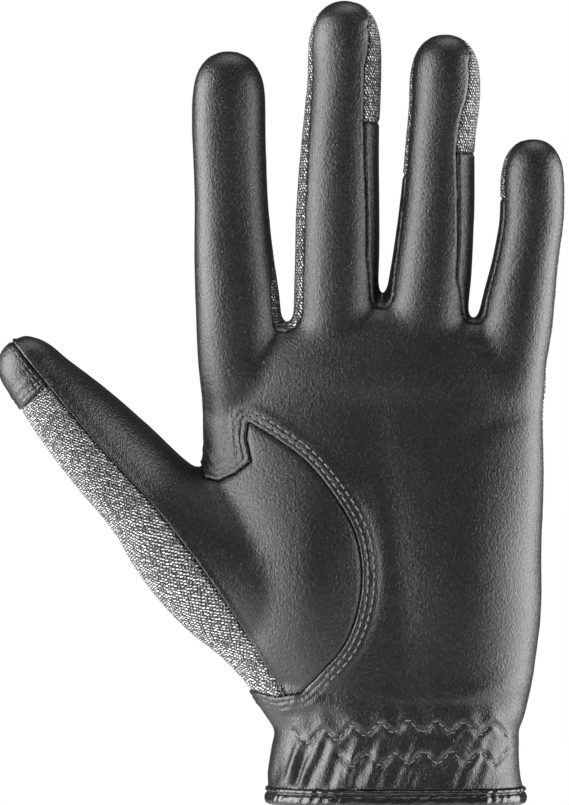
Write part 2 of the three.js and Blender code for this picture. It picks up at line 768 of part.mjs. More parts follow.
// Named mesh of a panel, in the relaxed pose, without the loose crumbs that cutting leaves.
function piece(name, solid, material) {
  const bodies = solid.decompose().filter((body) => body.volume() > crumbVolume);
  const { vertProperties, triVerts } = join(bodies).getMesh();
  const positions = [];
  for (let i = 0; i < vertProperties.length; i += 3) {
    const point = new THREE.Vector3().fromArray(vertProperties, i);
    positions.push(...relax(point).toArray());
  }
  const geometry = new THREE.BufferGeometry();
  geometry.setAttribute("position", new THREE.Float32BufferAttribute(positions, 3));
  geometry.setIndex(Array.from(triVerts));
  geometry.computeVertexNormals();
  const mesh = new THREE.Mesh(geometry, material);
  mesh.name = name;
  return mesh;
}

function buildGlove() {
  const shell = gloveShell();
  const thumb = shell.intersect(thumbRegion(0));
  const hand = shell.subtract(thumbRegion(seamGap));
  const palm = hand.intersect(frontRegion(0));
  const behind = hand.subtract(frontRegion(seamGap));
  const wristBack = behind.intersect(wristRegion(0));
  const stripNames = ["fourchette_index_middle", "fourchette_middle_ring", "fourchette_ring_little"];
  const stripMaterials = [knit, leather, leather];
  const stripPairs = [1, 3, 5];
  const allStrips = join(stripPairs.map((first) => sideStrip(first, seamGap)));
  const handBack = behind.subtract(wristRegion(seamGap)).subtract(allStrips);
  const outer = thumb.intersect(thumbOuterRegion(0));
  const glove = new THREE.Group();
  glove.add(piece("palm_panel", palm, leather));
  glove.add(piece("hand_back", handBack, knit));
  stripNames.forEach((name, i) => {
    glove.add(piece(name, behind.intersect(sideStrip(stripPairs[i], 0)), stripMaterials[i]));
  });
  glove.add(piece("thumb_front", thumb.subtract(thumbOuterRegion(seamGap)), leather));
  glove.add(piece("thumb_back", outer.subtract(thumbTipRegion(seamGap)), knit));
  glove.add(piece("thumb_tip_patch", outer.intersect(thumbTipRegion(0)), leather));
  glove.add(piece("wrist_back", wristBack, leather));
  glove.add(piece("hem_binding", bindingSolid(), binding));
  return glove;
}

const group = buildGlove();
export default group;
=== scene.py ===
# Horse riding glove for the left hand, filled as if worn. Lengths are in millimetres while a mesh
# is shaped, and become metres when it is made. Every piece is shaped with the hand held flat, and
# then the fingers and the thumb curl forward, as in the solid model.
import math

import bpy
import numpy as np
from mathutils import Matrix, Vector, kdtree
from mathutils.bvhtree import BVHTree


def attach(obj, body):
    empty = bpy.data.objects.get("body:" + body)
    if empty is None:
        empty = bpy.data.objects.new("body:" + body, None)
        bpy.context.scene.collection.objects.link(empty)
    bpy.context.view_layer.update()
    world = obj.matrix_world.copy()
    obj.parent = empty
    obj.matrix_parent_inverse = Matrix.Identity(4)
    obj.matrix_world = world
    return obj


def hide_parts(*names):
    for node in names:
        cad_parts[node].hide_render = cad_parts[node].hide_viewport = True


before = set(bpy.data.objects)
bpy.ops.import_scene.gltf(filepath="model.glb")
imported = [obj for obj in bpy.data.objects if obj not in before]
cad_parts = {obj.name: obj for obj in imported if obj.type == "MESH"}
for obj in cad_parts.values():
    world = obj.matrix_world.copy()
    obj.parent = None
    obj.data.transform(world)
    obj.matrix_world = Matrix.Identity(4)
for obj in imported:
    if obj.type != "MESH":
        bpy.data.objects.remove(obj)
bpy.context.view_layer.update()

MM = 0.001

# Sizes of the hand part
PALM_HEIGHT = 118.0
PALM_WIDTH = 88.0
PALM_DEPTH = 29.0
WRIST_HEIGHT = 29.0
WRIST_WIDTH = 62.0
WRIST_DEPTH = 37.0
KNUCKLE_ARCH = 3.1
HALF_PALM = PALM_WIDTH / 2
HALF_DEPTH = PALM_DEPTH / 2

# Sizes of the fingers and the thumb
FINGER_DEPTH_SHARE = 0.93
THUMB_LENGTH = 87.5
THUMB_WIDTH = 33.0
THUMB_ANGLE = math.radians(43)
THUMB_DEPTH_SHARE = 0.9
MIDDLE_LENGTH = 86.0

# Sizes of the materials and the sewing
WALL = 1.3
BINDING_HEIGHT = 4.6
BINDING_ROLL = 0.8
SEAM_INSET = 0.06
FAR = 400.0
TINY = 0.01
END_STEP = 0.001

# Curl of the relaxed hand
FINGER_CURL = 11.0
THUMB_FORWARD = 17.0
THENAR_SWELL = 6.5
HYPOTHENAR_SWELL = 3.0
SWELL_DEPTH_SHARE = 0.6
CURL_START = 0.75
CURL_POWER = 1.7
THUMB_FORWARD_START = 0.86
THUMB_FORWARD_END = 2.2

# Fineness of the skin
VOXEL = 0.8
SMOOTH_ROUNDS = 26
HAND_SIDES = 96
FINGER_SIDES = 40
SECTION_STEP = 1.6
TIP_STEPS = 10
TIP_STEPS_SPARE = 0.2
HAND_START = -4.0
SNAP = 0.04
GUSSET_POINTS = 60
THUMB_BACK_POINTS = 30
FINGER_ROUNDNESS = 2.2
HAND_ROUNDNESS = 2.5
TIP_ROUNDNESS = 2.3
TIP_LENGTH_SHARE = 1.42
SMOOTHING_LOSS = 0.25

# Wrist sections: up (share of WRIST_HEIGHT), thumb side, little-finger side (shares of half
# WRIST_WIDTH), deep (share of half WRIST_DEPTH).
WRIST_SECTIONS = np.array([
    (0.0, 1.045, 1.045, 1.08),
    (0.16, 1.045, 1.04, 1.07),
    (0.26, 1.055, 1.016, 1.04),
    (0.38, 1.03, 1.003, 1.01),
    (0.51, 1.013, 1.003, 1.0),
    (0.64, 0.997, 1.02, 0.98),
    (0.76, 1.06, 1.045, 0.96),
    (0.9, 1.15, 1.087, 0.93),
])
# Palm sections: up (share of PALM_HEIGHT), thumb side, little-finger side (shares of half
# PALM_WIDTH), front, back (shares of half PALM_DEPTH), arch (share of the arch of the roots).
PALM_SECTIONS = np.array([
    (0.254, 0.857, 0.782, 1.15, 1.15, 0),
    (0.322, 1.02, 0.811, 1.12, 1.07, 0),
    (0.415, 1.07, 0.841, 1.09, 1.03, 0),
    (0.542, 1.1, 0.843, 1.06, 1.0, 0),
    (0.712, 1.107, 0.857, 1.01, 0.97, 0),
    (0.85, 1.12, 0.852, 0.88, 0.87, 0.3),
    (0.93, 1.12, 0.86, 0.77, 0.76, 0.75),
    (0.99, 1.12, 0.87, 0.67, 0.66, 1),
    (1.03, 1.1, 0.85, 0.5, 0.5, 1),
    (1.05, 1.05, 0.8, 0.28, 0.28, 1),
])
ARCH_PEAK = -0.075
ARCH_FALL_THUMB = 10.4
ARCH_FALL_LITTLE = 9.0

# Fingers: length, width, across (share of half PALM_WIDTH), then sections: up (share of the
# length), aside and wide (shares of the width).
FINGERS = {
    "index": (73.3, 21.4, -0.909, [
        (-0.5, 0.12, 0.6), (-0.25, 0.03, 0.88), (-0.05, 0.0, 0.98), (0.14, -0.014, 1.0),
        (0.28, -0.056, 0.944), (0.49, -0.089, 0.869), (0.7, -0.117, 0.869)]),
    "middle": (MIDDLE_LENGTH, 21.4, -0.352, [
        (-0.3, 0, 0.7), (-0.08, 0, 0.92), (0.12, 0.005, 0.99), (0.238, 0.023, 1.0),
        (0.416, 0.033, 0.98), (0.593, 0.06, 0.916), (0.772, 0.11, 0.87)]),
    "ring": (77.6, 21.2, 0.16, [
        (-0.3, -0.1, 0.7), (-0.08, -0.04, 0.92), (0.133, 0.045, 1.0), (0.264, 0.102, 0.962),
        (0.461, 0.163, 0.887), (0.657, 0.198, 0.83), (0.78, 0.25, 0.85)]),
    "little": (51.3, 19.2, 0.67, [
        (-0.7, -0.3, 0.6), (-0.35, -0.12, 0.88), (-0.1, -0.02, 0.98), (0.1, 0.052, 1.0),
        (0.2, 0.089, 0.969), (0.4, 0.182, 0.88), (0.6, 0.271, 0.854)]),
}
# Thumb sections: along (share of THUMB_LENGTH from the root), wide (share of THUMB_WIDTH).
THUMB_ROOT = (-0.88, 0.448)
THUMB_SECTIONS = np.array([
    (-0.16, 0.78), (0.0, 0.97), (0.123, 1.0), (0.281, 0.915),
    (0.392, 0.776), (0.544, 0.724), (0.714, 0.636), (0.866, 0.503),
])

# Seams on the sides of the fingers: finger, side strip's join (share of the length, or None),
# then levels: up (share of the length), level (share of the half depth).
STRIPS = [
    ("index", None, [(-0.2, 0.6), (0.6, 0.6), (0.9, 0.3), (1, 0)]),
    ("index", None, [(0.16, -0.6), (0.25, -0.35), (0.32, -0.05), (0.8, 0.1), (1, 0)]),
    ("middle", None, [(0.14, -0.6), (0.45, -0.63), (0.7, -0.45), (0.9, -0.33), (1, 0)]),
    ("middle", 0.64, [(0.14, -0.6), (0.25, -0.76), (0.8, -0.76), (0.92, -0.6), (1, 0)]),
    ("ring", 0.54, [(0.14, -0.6), (0.22, -0.48), (0.42, -0.36), (0.85, -0.27), (1, 0)]),
    ("ring", 0.61, [(0.1, -0.54), (0.2, -0.8), (0.75, -0.74), (0.9, -0.6), (1, 0)]),
    ("little", 0.7, [(0.1, -0.58), (0.2, -0.5), (0.6, -0.42), (0.9, -0.3), (1, 0)]),
    ("little", None, [(-0.2, -0.12), (0.8, -0.12), (1, 0)]),
]
FINGER_GAPS = {"index_middle": -0.63, "middle_ring": -0.075, "ring_little": 0.49}
BACK_LEVEL = 0.6
BACK_TAPER = 0.7
SIDE_SEAMS = {
    "thumb": [(0.25, 0.14), (0.7, 0.41), (0.8, 0.41)],
    "little": [(0.25, 0.14), (0.44, -0.07), (0.8, -0.07)],
}
STRIP_FOOT = 0.953

# Edge of the thumb gusset, its quirk and heel: across (share of half PALM_WIDTH), up (share of
# PALM_HEIGHT).
QUIRK = [(-1.107, 0.706), (-1.03, 0.697), (-0.93, 0.713), (-0.84, 0.74), (-0.87, 0.79)]
GUSSET_ARC = [
    (-0.857, 0.825), (-0.7, 0.79), (-0.52, 0.74), (-0.36, 0.668), (-0.235, 0.585),
    (-0.198, 0.505), (-0.215, 0.43), (-0.3, 0.345), (-0.45, 0.28),
]
HEEL = [(-0.55, 0.243), (-0.69, 0.233), (-0.84, 0.244)]
THUMB_BACK_EDGE = [(-1.107, 0.706), (-0.97, 0.6), (-0.87, 0.45), (-0.8, 0.32), (-0.84, 0.244)]
THUMB_GAP = (-1.36, 1.1)
THUMB_SEAM = [
    (1.02, 0.05), (0.8, 0.01), (0.6, -0.02), (0.35, -0.03), (0.1, -0.1), (-0.15, -0.22), (-0.4, -0.38),
]
THUMB_BACK_LEVEL = 4.0
TIP_PATCH_ALONG = 0.835
WRIST_JOIN = (0.25, 0.44)

# Zigzag elastic stitching: ends of each row on the front of the wrist, millimetres from the
# middle line and above the hem, at the thumb side, the middle and the little-finger side.
ZIGZAG_ROWS = [
    {"x": (-26.0, 0.0, 31.0), "z": (17.1, 20.2, 19.2)},
    {"x": (-15.0, 6.0, 29.0), "z": (11.9, 12.4, 12.3)},
]
ZIGZAG_PITCH = 7.2
ZIGZAG_SWING = 1.65
THREAD_RADIUS = 0.22
THREAD_SIDES = 6
# Stitches beside the quirk, millimetres across and up in the front view.
QUIRK_STITCHES = [
    [(-42.1, 101.5), (-41.3, 88.7)],
    [(-40.9, 99.7), (-39.8, 90.8)],
    [(-38.9, 88.2), (-41.2, 86.0), (-45.8, 84.2)],
]
STITCH_PITCH = 2.2
STITCH_SHARE = 0.76
FINE_PITCH = 1.9
FINE_RADIUS = 0.13
PATCH_PITCH = 1.6
ZIGZAG_SHARE = 0.8
ZIGZAG_RADIUS = 0.2
# Distances of the rows of stitches from their seams, and how far the rows run.
GUSSET_STITCHES = (1.35, 2.85)
THUMB_STITCHES = (1.0, 2.0)
THUMB_STITCHES_ALONG = (-0.28, 1.04)
PATCH_STITCHES = (0.9, 1.9)
PATCH_STITCHES_ASIDE = (-7.0, -0.6)
# Bend of one stitch: place along it, rise and thickness (shares of the thread's radius).
THREAD_BEND = [(0, -0.9, 0.7), (0.15, 0.1, 0.95), (0.5, 0.45, 1.0), (0.85, 0.1, 0.95), (1, -0.9, 0.7)]
KNIT_PITCH = 0.86
BINDING_JOIN = 20.9

# Rolled profile of the binding: up (share of BINDING_HEIGHT), out (share of BINDING_ROLL).
BINDING_PROFILE = [
    (0.93, 0.05), (0.93, 0.55), (0.9, 0.85), (0.84, 1.0), (0.77, 0.95), (0.72, 0.7), (0.68, 0.35),
    (0.64, 0.45), (0.58, 0.85), (0.48, 1.15), (0.36, 1.3), (0.24, 1.25), (0.12, 1.0), (0.04, 0.6),
    (0.0, 0.0), (0.02, -0.8), (0.12, -1.5), (0.35, -2.0), (0.65, -2.05), (0.93, -1.9),
]

# The photograph's framing, metres.
CAMERA_AWAY = 1.6
VIEW_HEIGHT = 0.2053
VIEW_CENTRE = (-0.0284, 0.1021)
FLOOR_HALF = 800.0
FLOOR_LEVEL = -300.0


def hermite(places, values, at):
    """Smooth curve through a table's rows, held at its ends."""
    places = np.asarray(places, float)
    values = np.asarray(values, float)
    at = np.clip(at, places[0], places[-1])
    slopes = np.gradient(values, places)
    i = np.clip(np.searchsorted(places, at) - 1, 0, len(places) - 2)
    width = places[i + 1] - places[i]
    t = (at - places[i]) / width
    return ((2 * t**3 - 3 * t**2 + 1) * values[i] + (t**3 - 2 * t**2 + t) * width * slopes[i]
            + (3 * t**2 - 2 * t**3) * values[i + 1] + (t**3 - t**2) * width * slopes[i + 1])


def smoothstep(value, low, high):
    t = np.clip((value - low) / (high - low), 0, 1)
    return t * t * (3 - 2 * t)


def palm_points(rows):
    return np.array(rows) * (HALF_PALM, PALM_HEIGHT)


def spline(points, count):
    """Points on a smooth curve through a few chosen ones."""
    points = np.asarray(points, float)
    run = np.concatenate([[0], np.cumsum(np.linalg.norm(np.diff(points, axis=0), axis=1))])
    at = np.linspace(0, run[-1], count)
    return np.stack([hermite(run, points[:, k], at) for k in range(points.shape[1])], axis=1)


# Shapes of the hand

def hand_section(height):
    """thumb side, little-finger side, front, back and arch of the hand at a height."""
    wrist_rows = [
        (up * WRIST_HEIGHT, thumb * WRIST_WIDTH / 2, little * WRIST_WIDTH / 2,
         deep * WRIST_DEPTH / 2, deep * WRIST_DEPTH / 2, 0)
        for up, thumb, little, deep in WRIST_SECTIONS]
    palm_rows = [
        (up * PALM_HEIGHT, thumb * HALF_PALM, little * HALF_PALM,
         front * HALF_DEPTH, back * HALF_DEPTH, arch)
        for up, thumb, little, front, back, arch in PALM_SECTIONS]
    rows = np.array(wrist_rows + palm_rows)
    return [hermite(rows[:, 0], rows[:, k], height) for k in range(1, 6)]


def arch_rise(x):
    away = x / HALF_PALM - ARCH_PEAK
    fall = np.where(away < 0, ARCH_FALL_THUMB, ARCH_FALL_LITTLE)
    return KNUCKLE_ARCH * (1 - away * away * fall / 2)


def oval(sides, roundness):
    """Directions round an oval, as two columns."""
    angle = 2 * np.pi * (np.arange(sides) + 0.5) / sides
    cos, sin = np.cos(angle), np.sin(angle)
    power = 2 / roundness
    return np.sign(cos) * np.abs(cos) ** power, np.sign(sin) * np.abs(sin) ** power


def hand_rings(lowest, grow):
    rings = []
    top = PALM_SECTIONS[-1, 0] * PALM_HEIGHT
    heights = np.arange(lowest, top, SECTION_STEP)
    across, deep = oval(HAND_SIDES, HAND_ROUNDNESS)
    for height in np.append(heights, top):
        thumb, little, front, back, arch = hand_section(height)
        x = (little - thumb) / 2 + ((little + thumb) / 2 + grow) * across
        y = np.where(deep < 0, front + grow, back + grow) * deep
        rings.append(np.stack([x, y, height + arch * arch_rise(x)], axis=1))
    return rings


def tip_half(half, share):
    return half * (1 - share ** TIP_ROUNDNESS) ** (1 / TIP_ROUNDNESS)


def tip_shares():
    return np.sin(np.pi / 2 * np.arange(1, TIP_STEPS + 1) / (TIP_STEPS + TIP_STEPS_SPARE))


def finger_across(name, height):
    length, width, across, rows = FINGERS[name]
    rows = np.array(rows)
    return across * HALF_PALM + hermite(rows[:, 0], rows[:, 1], (height - PALM_HEIGHT) / length) * width


def finger_half(name, height):
    """Half width of a finger at a height, with its rounded tip."""
    length, width, _, rows = FINGERS[name]
    rows = np.array(rows)
    last = rows[-1, 2] * width / 2
    start = PALM_HEIGHT + length - TIP_LENGTH_SHARE * last
    half = hermite(rows[:, 0], rows[:, 2], (height - PALM_HEIGHT) / length) * width / 2
    share = np.clip((height - start) / (PALM_HEIGHT + length - start), 0, 1)
    return np.where(share > 0, tip_half(last, share), half)


def finger_rings(name, grow):
    length, width, _, rows = FINGERS[name]
    last = rows[-1][2] * width / 2
    start = PALM_HEIGHT + length - TIP_LENGTH_SHARE * last
    body = np.arange(PALM_HEIGHT + rows[0][0] * length, start, SECTION_STEP)
    tip = start + (PALM_HEIGHT + length - start) * tip_shares()
    across, deep = oval(FINGER_SIDES, FINGER_ROUNDNESS)
    rings = []
    for height in np.concatenate([body, tip]):
        half = float(finger_half(name, height)) + grow
        centre = float(finger_across(name, height))
        raised = height + grow * np.clip((height - start) / (PALM_HEIGHT + length - start), 0, 1)
        x = centre + half * across
        rings.append(np.stack([x, half * FINGER_DEPTH_SHARE * deep, np.full(FINGER_SIDES, raised)], axis=1))
    return rings


THUMB_AXIS = np.array([-math.sin(THUMB_ANGLE), 0, math.cos(THUMB_ANGLE)])
THUMB_SIDE = np.array([math.cos(THUMB_ANGLE), 0, math.sin(THUMB_ANGLE)])
THUMB_START = np.array([THUMB_ROOT[0] * HALF_PALM, 0, THUMB_ROOT[1] * PALM_HEIGHT])


def thumb_place(along, aside):
    return THUMB_START + THUMB_AXIS * along + THUMB_SIDE * aside


def thumb_rings(grow):
    last_along, last_wide = THUMB_SECTIONS[-1]
    start = last_along * THUMB_LENGTH
    last = last_wide * THUMB_WIDTH / 2
    body = np.arange(THUMB_SECTIONS[0, 0] * THUMB_LENGTH, start, SECTION_STEP)
    halves = hermite(THUMB_SECTIONS[:, 0], THUMB_SECTIONS[:, 1], body / THUMB_LENGTH) * THUMB_WIDTH / 2
    shares = tip_shares()
    places = np.concatenate([body, start + (TIP_LENGTH_SHARE * last + grow) * shares])
    halves = np.concatenate([halves, tip_half(last, shares)]) + grow
    across, deep = oval(FINGER_SIDES, FINGER_ROUNDNESS)
    rings = []
    for along, half in zip(places, halves):
        ring = thumb_place(along, 0) + THUMB_SIDE * (-half * across)[:, None]
        ring[:, 1] = -half * THUMB_DEPTH_SHARE * deep
        rings.append(ring)
    return rings


def loft(rings):
    """Closed mesh through rings of equally many points, its ends closed by strips across them."""
    sides = len(rings[0])
    top = (len(rings) - 1) * sides
    faces = []
    for i in range(sides):
        j = (i + 1) % sides
        faces += [(r * sides + i, r * sides + j, (r + 1) * sides + j, (r + 1) * sides + i)
                  for r in range(len(rings) - 1)]
    for i in range(sides // 2 - 1):
        across = (i, i + 1, sides - 2 - i, sides - 1 - i)
        faces += [tuple(reversed(across)), tuple(top + corner for corner in across)]
    return np.concatenate(rings), faces


def new_object(name, verts, faces):
    """Blender object from millimetre points."""
    mesh = bpy.data.meshes.new(name)
    mesh.from_pydata((np.asarray(verts) * MM).tolist(), [], [list(map(int, face)) for face in faces])
    mesh.update()
    obj = bpy.data.objects.new(name, mesh)
    bpy.context.scene.collection.objects.link(obj)
    return obj


def remeshed_skin():
    """Outer skin of the whole glove as one even mesh: points and triangles."""
    grow = SMOOTHING_LOSS
    parts = [loft(hand_rings(HAND_START, grow)), loft(thumb_rings(grow))]
    parts += [loft(finger_rings(name, grow)) for name in FINGERS]
    verts, faces, start = [], [], 0
    for part_verts, part_faces in parts:
        verts.append(part_verts)
        faces += [[i + start for i in face] for face in part_faces]
        start += len(part_verts)
    rough = new_object("rough_skin", np.concatenate(verts), faces)
    remesh = rough.modifiers.new("even", "REMESH")
    remesh.mode = "VOXEL"
    remesh.voxel_size = VOXEL * MM
    made = rough.evaluated_get(bpy.context.evaluated_depsgraph_get()).to_mesh()
    made.calc_loop_triangles()
    points = np.zeros(len(made.vertices) * 3, np.float32)
    made.vertices.foreach_get("co", points)
    triangles = np.zeros(len(made.loop_triangles) * 3, np.int32)
    made.loop_triangles.foreach_get("vertices", triangles)
    rough.to_mesh_clear()
    old = rough.data
    bpy.data.objects.remove(rough)
    bpy.data.meshes.remove(old)
    return points.reshape(-1, 3).astype(float) / MM, triangles.reshape(-1, 3)


def unique_edges(triangles):
    pairs = np.concatenate([triangles[:, [0, 1]], triangles[:, [1, 2]], triangles[:, [2, 0]]])
    return np.unique(np.sort(pairs, axis=1), axis=0)


def smooth(values, edges, rounds, share=0.5):
    """Evens out values of the points over their neighbours."""
    values = np.array(values, float)
    count = np.bincount(edges.ravel(), minlength=len(values)).astype(float)
    if values.ndim == 2:
        count = count[:, None]
    for _ in range(rounds):
        total = np.zeros_like(values)
        np.add.at(total, edges[:, 0], values[edges[:, 1]])
        np.add.at(total, edges[:, 1], values[edges[:, 0]])
        values += share * (total / np.maximum(count, 1) - values)
    return values


def normals(points, triangles):
    a, b, c = (points[triangles[:, k]] for k in range(3))
    face = np.cross(b - a, c - a)
    total = np.zeros_like(points)
    for k in range(3):
        np.add.at(total, triangles[:, k], face)
    return total / np.maximum(np.linalg.norm(total, axis=1, keepdims=True), 1e-9)


def cut(points, triangles, field):
    """Splits the triangles along the line where a field, given at the points, is zero."""
    field = np.where(np.abs(field) < SNAP, 0.0, field)
    side = np.sign(field).astype(int)
    corner = side[triangles]
    low, high = corner.min(1), corner.max(1)
    crossed = (low < 0) & (high > 0)
    kept = triangles[~crossed]
    work = triangles[crossed]
    if len(work) == 0:
        return points, triangles
    signs = side[work]
    has_zero = (signs == 0).any(1)
    lone_sign = np.where(signs.sum(1) > 0, -1, 1)
    odd_one = np.argmax(signs == lone_sign[:, None], axis=1)
    lone = np.where(has_zero, np.argmax(signs == 0, axis=1), odd_one)
    rows = np.arange(len(work))
    a = work[rows, lone]
    b = work[rows, (lone + 1) % 3]
    c = work[rows, (lone + 2) % 3]
    two = ~has_zero
    pairs = np.concatenate([
        np.stack([b[has_zero], c[has_zero]], 1),
        np.stack([a[two], b[two]], 1),
        np.stack([a[two], c[two]], 1)])
    edges, index = np.unique(np.sort(pairs, axis=1), axis=0, return_inverse=True)
    index = index.ravel() + len(points)
    f0, f1 = field[edges[:, 0]], field[edges[:, 1]]
    t = (f0 / (f0 - f1))[:, None]
    made = points[edges[:, 0]] * (1 - t) + points[edges[:, 1]] * t
    zeros, lones = int(has_zero.sum()), int(two.sum())
    middle, p, q = index[:zeros], index[zeros:zeros + lones], index[zeros + lones:]
    split = [
        np.stack([a[has_zero], b[has_zero], middle], 1), np.stack([a[has_zero], middle, c[has_zero]], 1),
        np.stack([a[two], p, q], 1), np.stack([p, b[two], c[two]], 1), np.stack([p, c[two], q], 1)]
    return np.concatenate([points, made]), np.concatenate([kept] + split)


# Fields that the seams follow, each zero on its seam

def strip_bounds():
    tips = {name: float(finger_across(name, PALM_HEIGHT + FINGERS[name][0])) for name in FINGERS}
    gaps = {name: across * HALF_PALM for name, across in FINGER_GAPS.items()}
    return [-FAR, tips["index"], gaps["index_middle"], tips["middle"], gaps["middle_ring"],
            tips["ring"], gaps["ring_little"], tips["little"], FAR]


def strip_number(points):
    return np.clip(np.searchsorted(strip_bounds(), points[:, 0]) - 1, 0, len(STRIPS) - 1)


def seam_line(number):
    """Heights and levels of a strip's seam, from below the hem to above the fingertip."""
    name, _, levels = STRIPS[number]
    length, width, across, _ = FINGERS[name]
    deep = width / 2 * FINGER_DEPTH_SHARE
    side = [(up * PALM_HEIGHT, level * HALF_DEPTH)
            for up, level in SIDE_SEAMS["thumb" if across < 0 else "little"]]
    upper = [(PALM_HEIGHT + up * length, level * deep) for up, level in levels]
    foot = STRIP_FOOT * PALM_HEIGHT
    if upper[0][0] > foot:
        side += [(foot, side[-1][1]), (foot + TINY, upper[0][1])]
    return np.array(side + upper)


def level_field(points):
    """Distance behind the front seam of the strip that a point lies in."""
    strips = strip_number(points)
    field = np.zeros(len(points))
    for number in range(len(STRIPS)):
        here = strips == number
        line = seam_line(number)
        field[here] = points[here, 1] - np.interp(points[here, 2], line[:, 0], line[:, 1])
    return field


def strip_back_field(points):
    """Distance behind the back seam of a side strip."""
    strips = strip_number(points)
    field = np.full(len(points), FAR)
    for number, (name, join, _) in enumerate(STRIPS):
        here = (strips == number) & (points[:, 2] > STRIP_FOOT * PALM_HEIGHT)
        if number in (0, len(STRIPS) - 1) or not here.any():
            continue
        length, width, _, _ = FINGERS[name]
        back = BACK_LEVEL * width / 2 * FINGER_DEPTH_SHARE
        end = 1 if join is None else join
        taper = BACK_TAPER if join is None else join
        heights = PALM_HEIGHT + np.array([taper, end + END_STEP]) * length
        line = np.interp(points[here, 2], heights, [back, 0])
        field[here] = points[here, 1] - (line if join is None else back)
    return field


def strip_end_field(points):
    """Height above the join at the end of a side strip."""
    strips = strip_number(points)
    field = np.full(len(points), -FAR)
    for number, (name, join, _) in enumerate(STRIPS):
        here = strips == number
        field[here] = points[here, 2] - (PALM_HEIGHT + (1 if join is None else join) * FINGERS[name][0])
    return field


def outline_field(points, outline):
    """Signed distance in the front view to a closed outline, negative inside it."""
    p = points[:, [0, 2]]
    best = np.full(len(p), np.inf)
    inside = np.zeros(len(p), bool)
    for (ax, az), (bx, bz) in zip(outline, np.roll(outline, -1, axis=0)):
        edge = np.array([bx - ax, bz - az])
        away = p - (ax, az)
        share = np.clip(away @ edge / (edge @ edge), 0, 1)
        best = np.minimum(best, np.linalg.norm(away - share[:, None] * edge, axis=1))
        straddles = (p[:, 1] < az) != (p[:, 1] < bz)
        with np.errstate(divide="ignore", invalid="ignore"):
            crossing = (bx - ax) * (p[:, 1] - az) / (bz - az) + ax
        inside ^= straddles & (p[:, 0] < crossing)
    return np.where(inside, -best, best)


AROUND_THUMB = [
    (-FAR, HEEL[-1][1] * PALM_HEIGHT), (-FAR, FAR), (THUMB_GAP[0] * HALF_PALM, FAR),
    (THUMB_GAP[0] * HALF_PALM, THUMB_GAP[1] * PALM_HEIGHT),
]
GUSSET_CURVE = spline(palm_points(GUSSET_ARC), GUSSET_POINTS)
FRONT_OUTLINE = np.concatenate([palm_points(QUIRK), GUSSET_CURVE, palm_points(HEEL), AROUND_THUMB])
BACK_OUTLINE = np.concatenate([spline(palm_points(THUMB_BACK_EDGE), THUMB_BACK_POINTS), AROUND_THUMB])


def thumb_field(points):
    """Distance outside the thumb's seam with the hand."""
    front = outline_field(points, FRONT_OUTLINE)
    back = outline_field(points, BACK_OUTLINE)
    return np.where(points[:, 1] < 0, front, back)


def thumb_lengths(points):
    away = points - THUMB_START
    return away @ THUMB_AXIS, away @ THUMB_SIDE


def thumb_seam_field(points):
    """Distance from the thumb's long seam towards the leather side, on its front."""
    along, aside = thumb_lengths(points)
    rows = np.array(THUMB_SEAM[::-1])
    return aside - hermite(rows[:, 0], rows[:, 1], along / THUMB_LENGTH) * THUMB_WIDTH


def patch_field(points):
    """Distance past the lower edge of the thumb tip's patch."""
    return thumb_lengths(points)[0] - TIP_PATCH_ALONG * THUMB_LENGTH


def wrist_join_field(points):
    """Height above the join of the knit back with the leather at the back of the wrist."""
    low, high = (share * PALM_HEIGHT for share in WRIST_JOIN)
    return points[:, 2] - np.interp(points[:, 0], [-HALF_PALM, HALF_PALM], [low, high])


PIECES = [
    "palm_panel", "hand_back", "fourchette_index_middle", "fourchette_middle_ring",
    "fourchette_ring_little", "thumb_front", "thumb_back", "thumb_tip_patch", "wrist_back",
]


(PALM, BACK, FIRST_STRIP, _, _, THUMB_FRONT, THUMB_KNIT, PATCH, WRIST) = range(len(PIECES))
KNIT_PANELS = (BACK, FIRST_STRIP, THUMB_KNIT)


def label(points):
    """Number of the panel that each point belongs to."""
    level = level_field(points)
    strips = strip_number(points)
    in_strip = (strip_back_field(points) < 0) & (strip_end_field(points) < 0)
    in_strip &= (strips > 0) & (strips < len(STRIPS) - 1)
    behind = np.where(wrist_join_field(points) < 0, WRIST, BACK)
    behind = np.where(in_strip, FIRST_STRIP + (strips - 1) // 2, behind)
    number = np.where(level < 0, PALM, behind)
    outer = (thumb_seam_field(points) < 0) | (points[:, 1] > THUMB_BACK_LEVEL)
    thumb = np.where(outer, np.where(patch_field(points) > 0, PATCH, THUMB_KNIT), THUMB_FRONT)
    return np.where(thumb_field(points) < 0, thumb, number)


def cut_near(points, triangles, field, near):
    """Cuts along a field only where near is true, so that other places keep even triangles."""
    values = field(points)
    return cut(points, triangles, np.where(near(points), values, np.abs(values) + 1))


# Distances from the seams at which extra rows of points are cut in.
LEVEL_ROWS = (-0.5, 0.0, 0.5)
GUSSET_ROWS = (-0.5, 0.0, 0.35, 1.3, 2.7, 4.2)
THUMB_SEAM_ROWS = (-0.45, 0.0, 0.45)
THUMB_MARGIN = 1.5
INDEX_EDGE = -52
HEM = BINDING_HEIGHT - 0.2


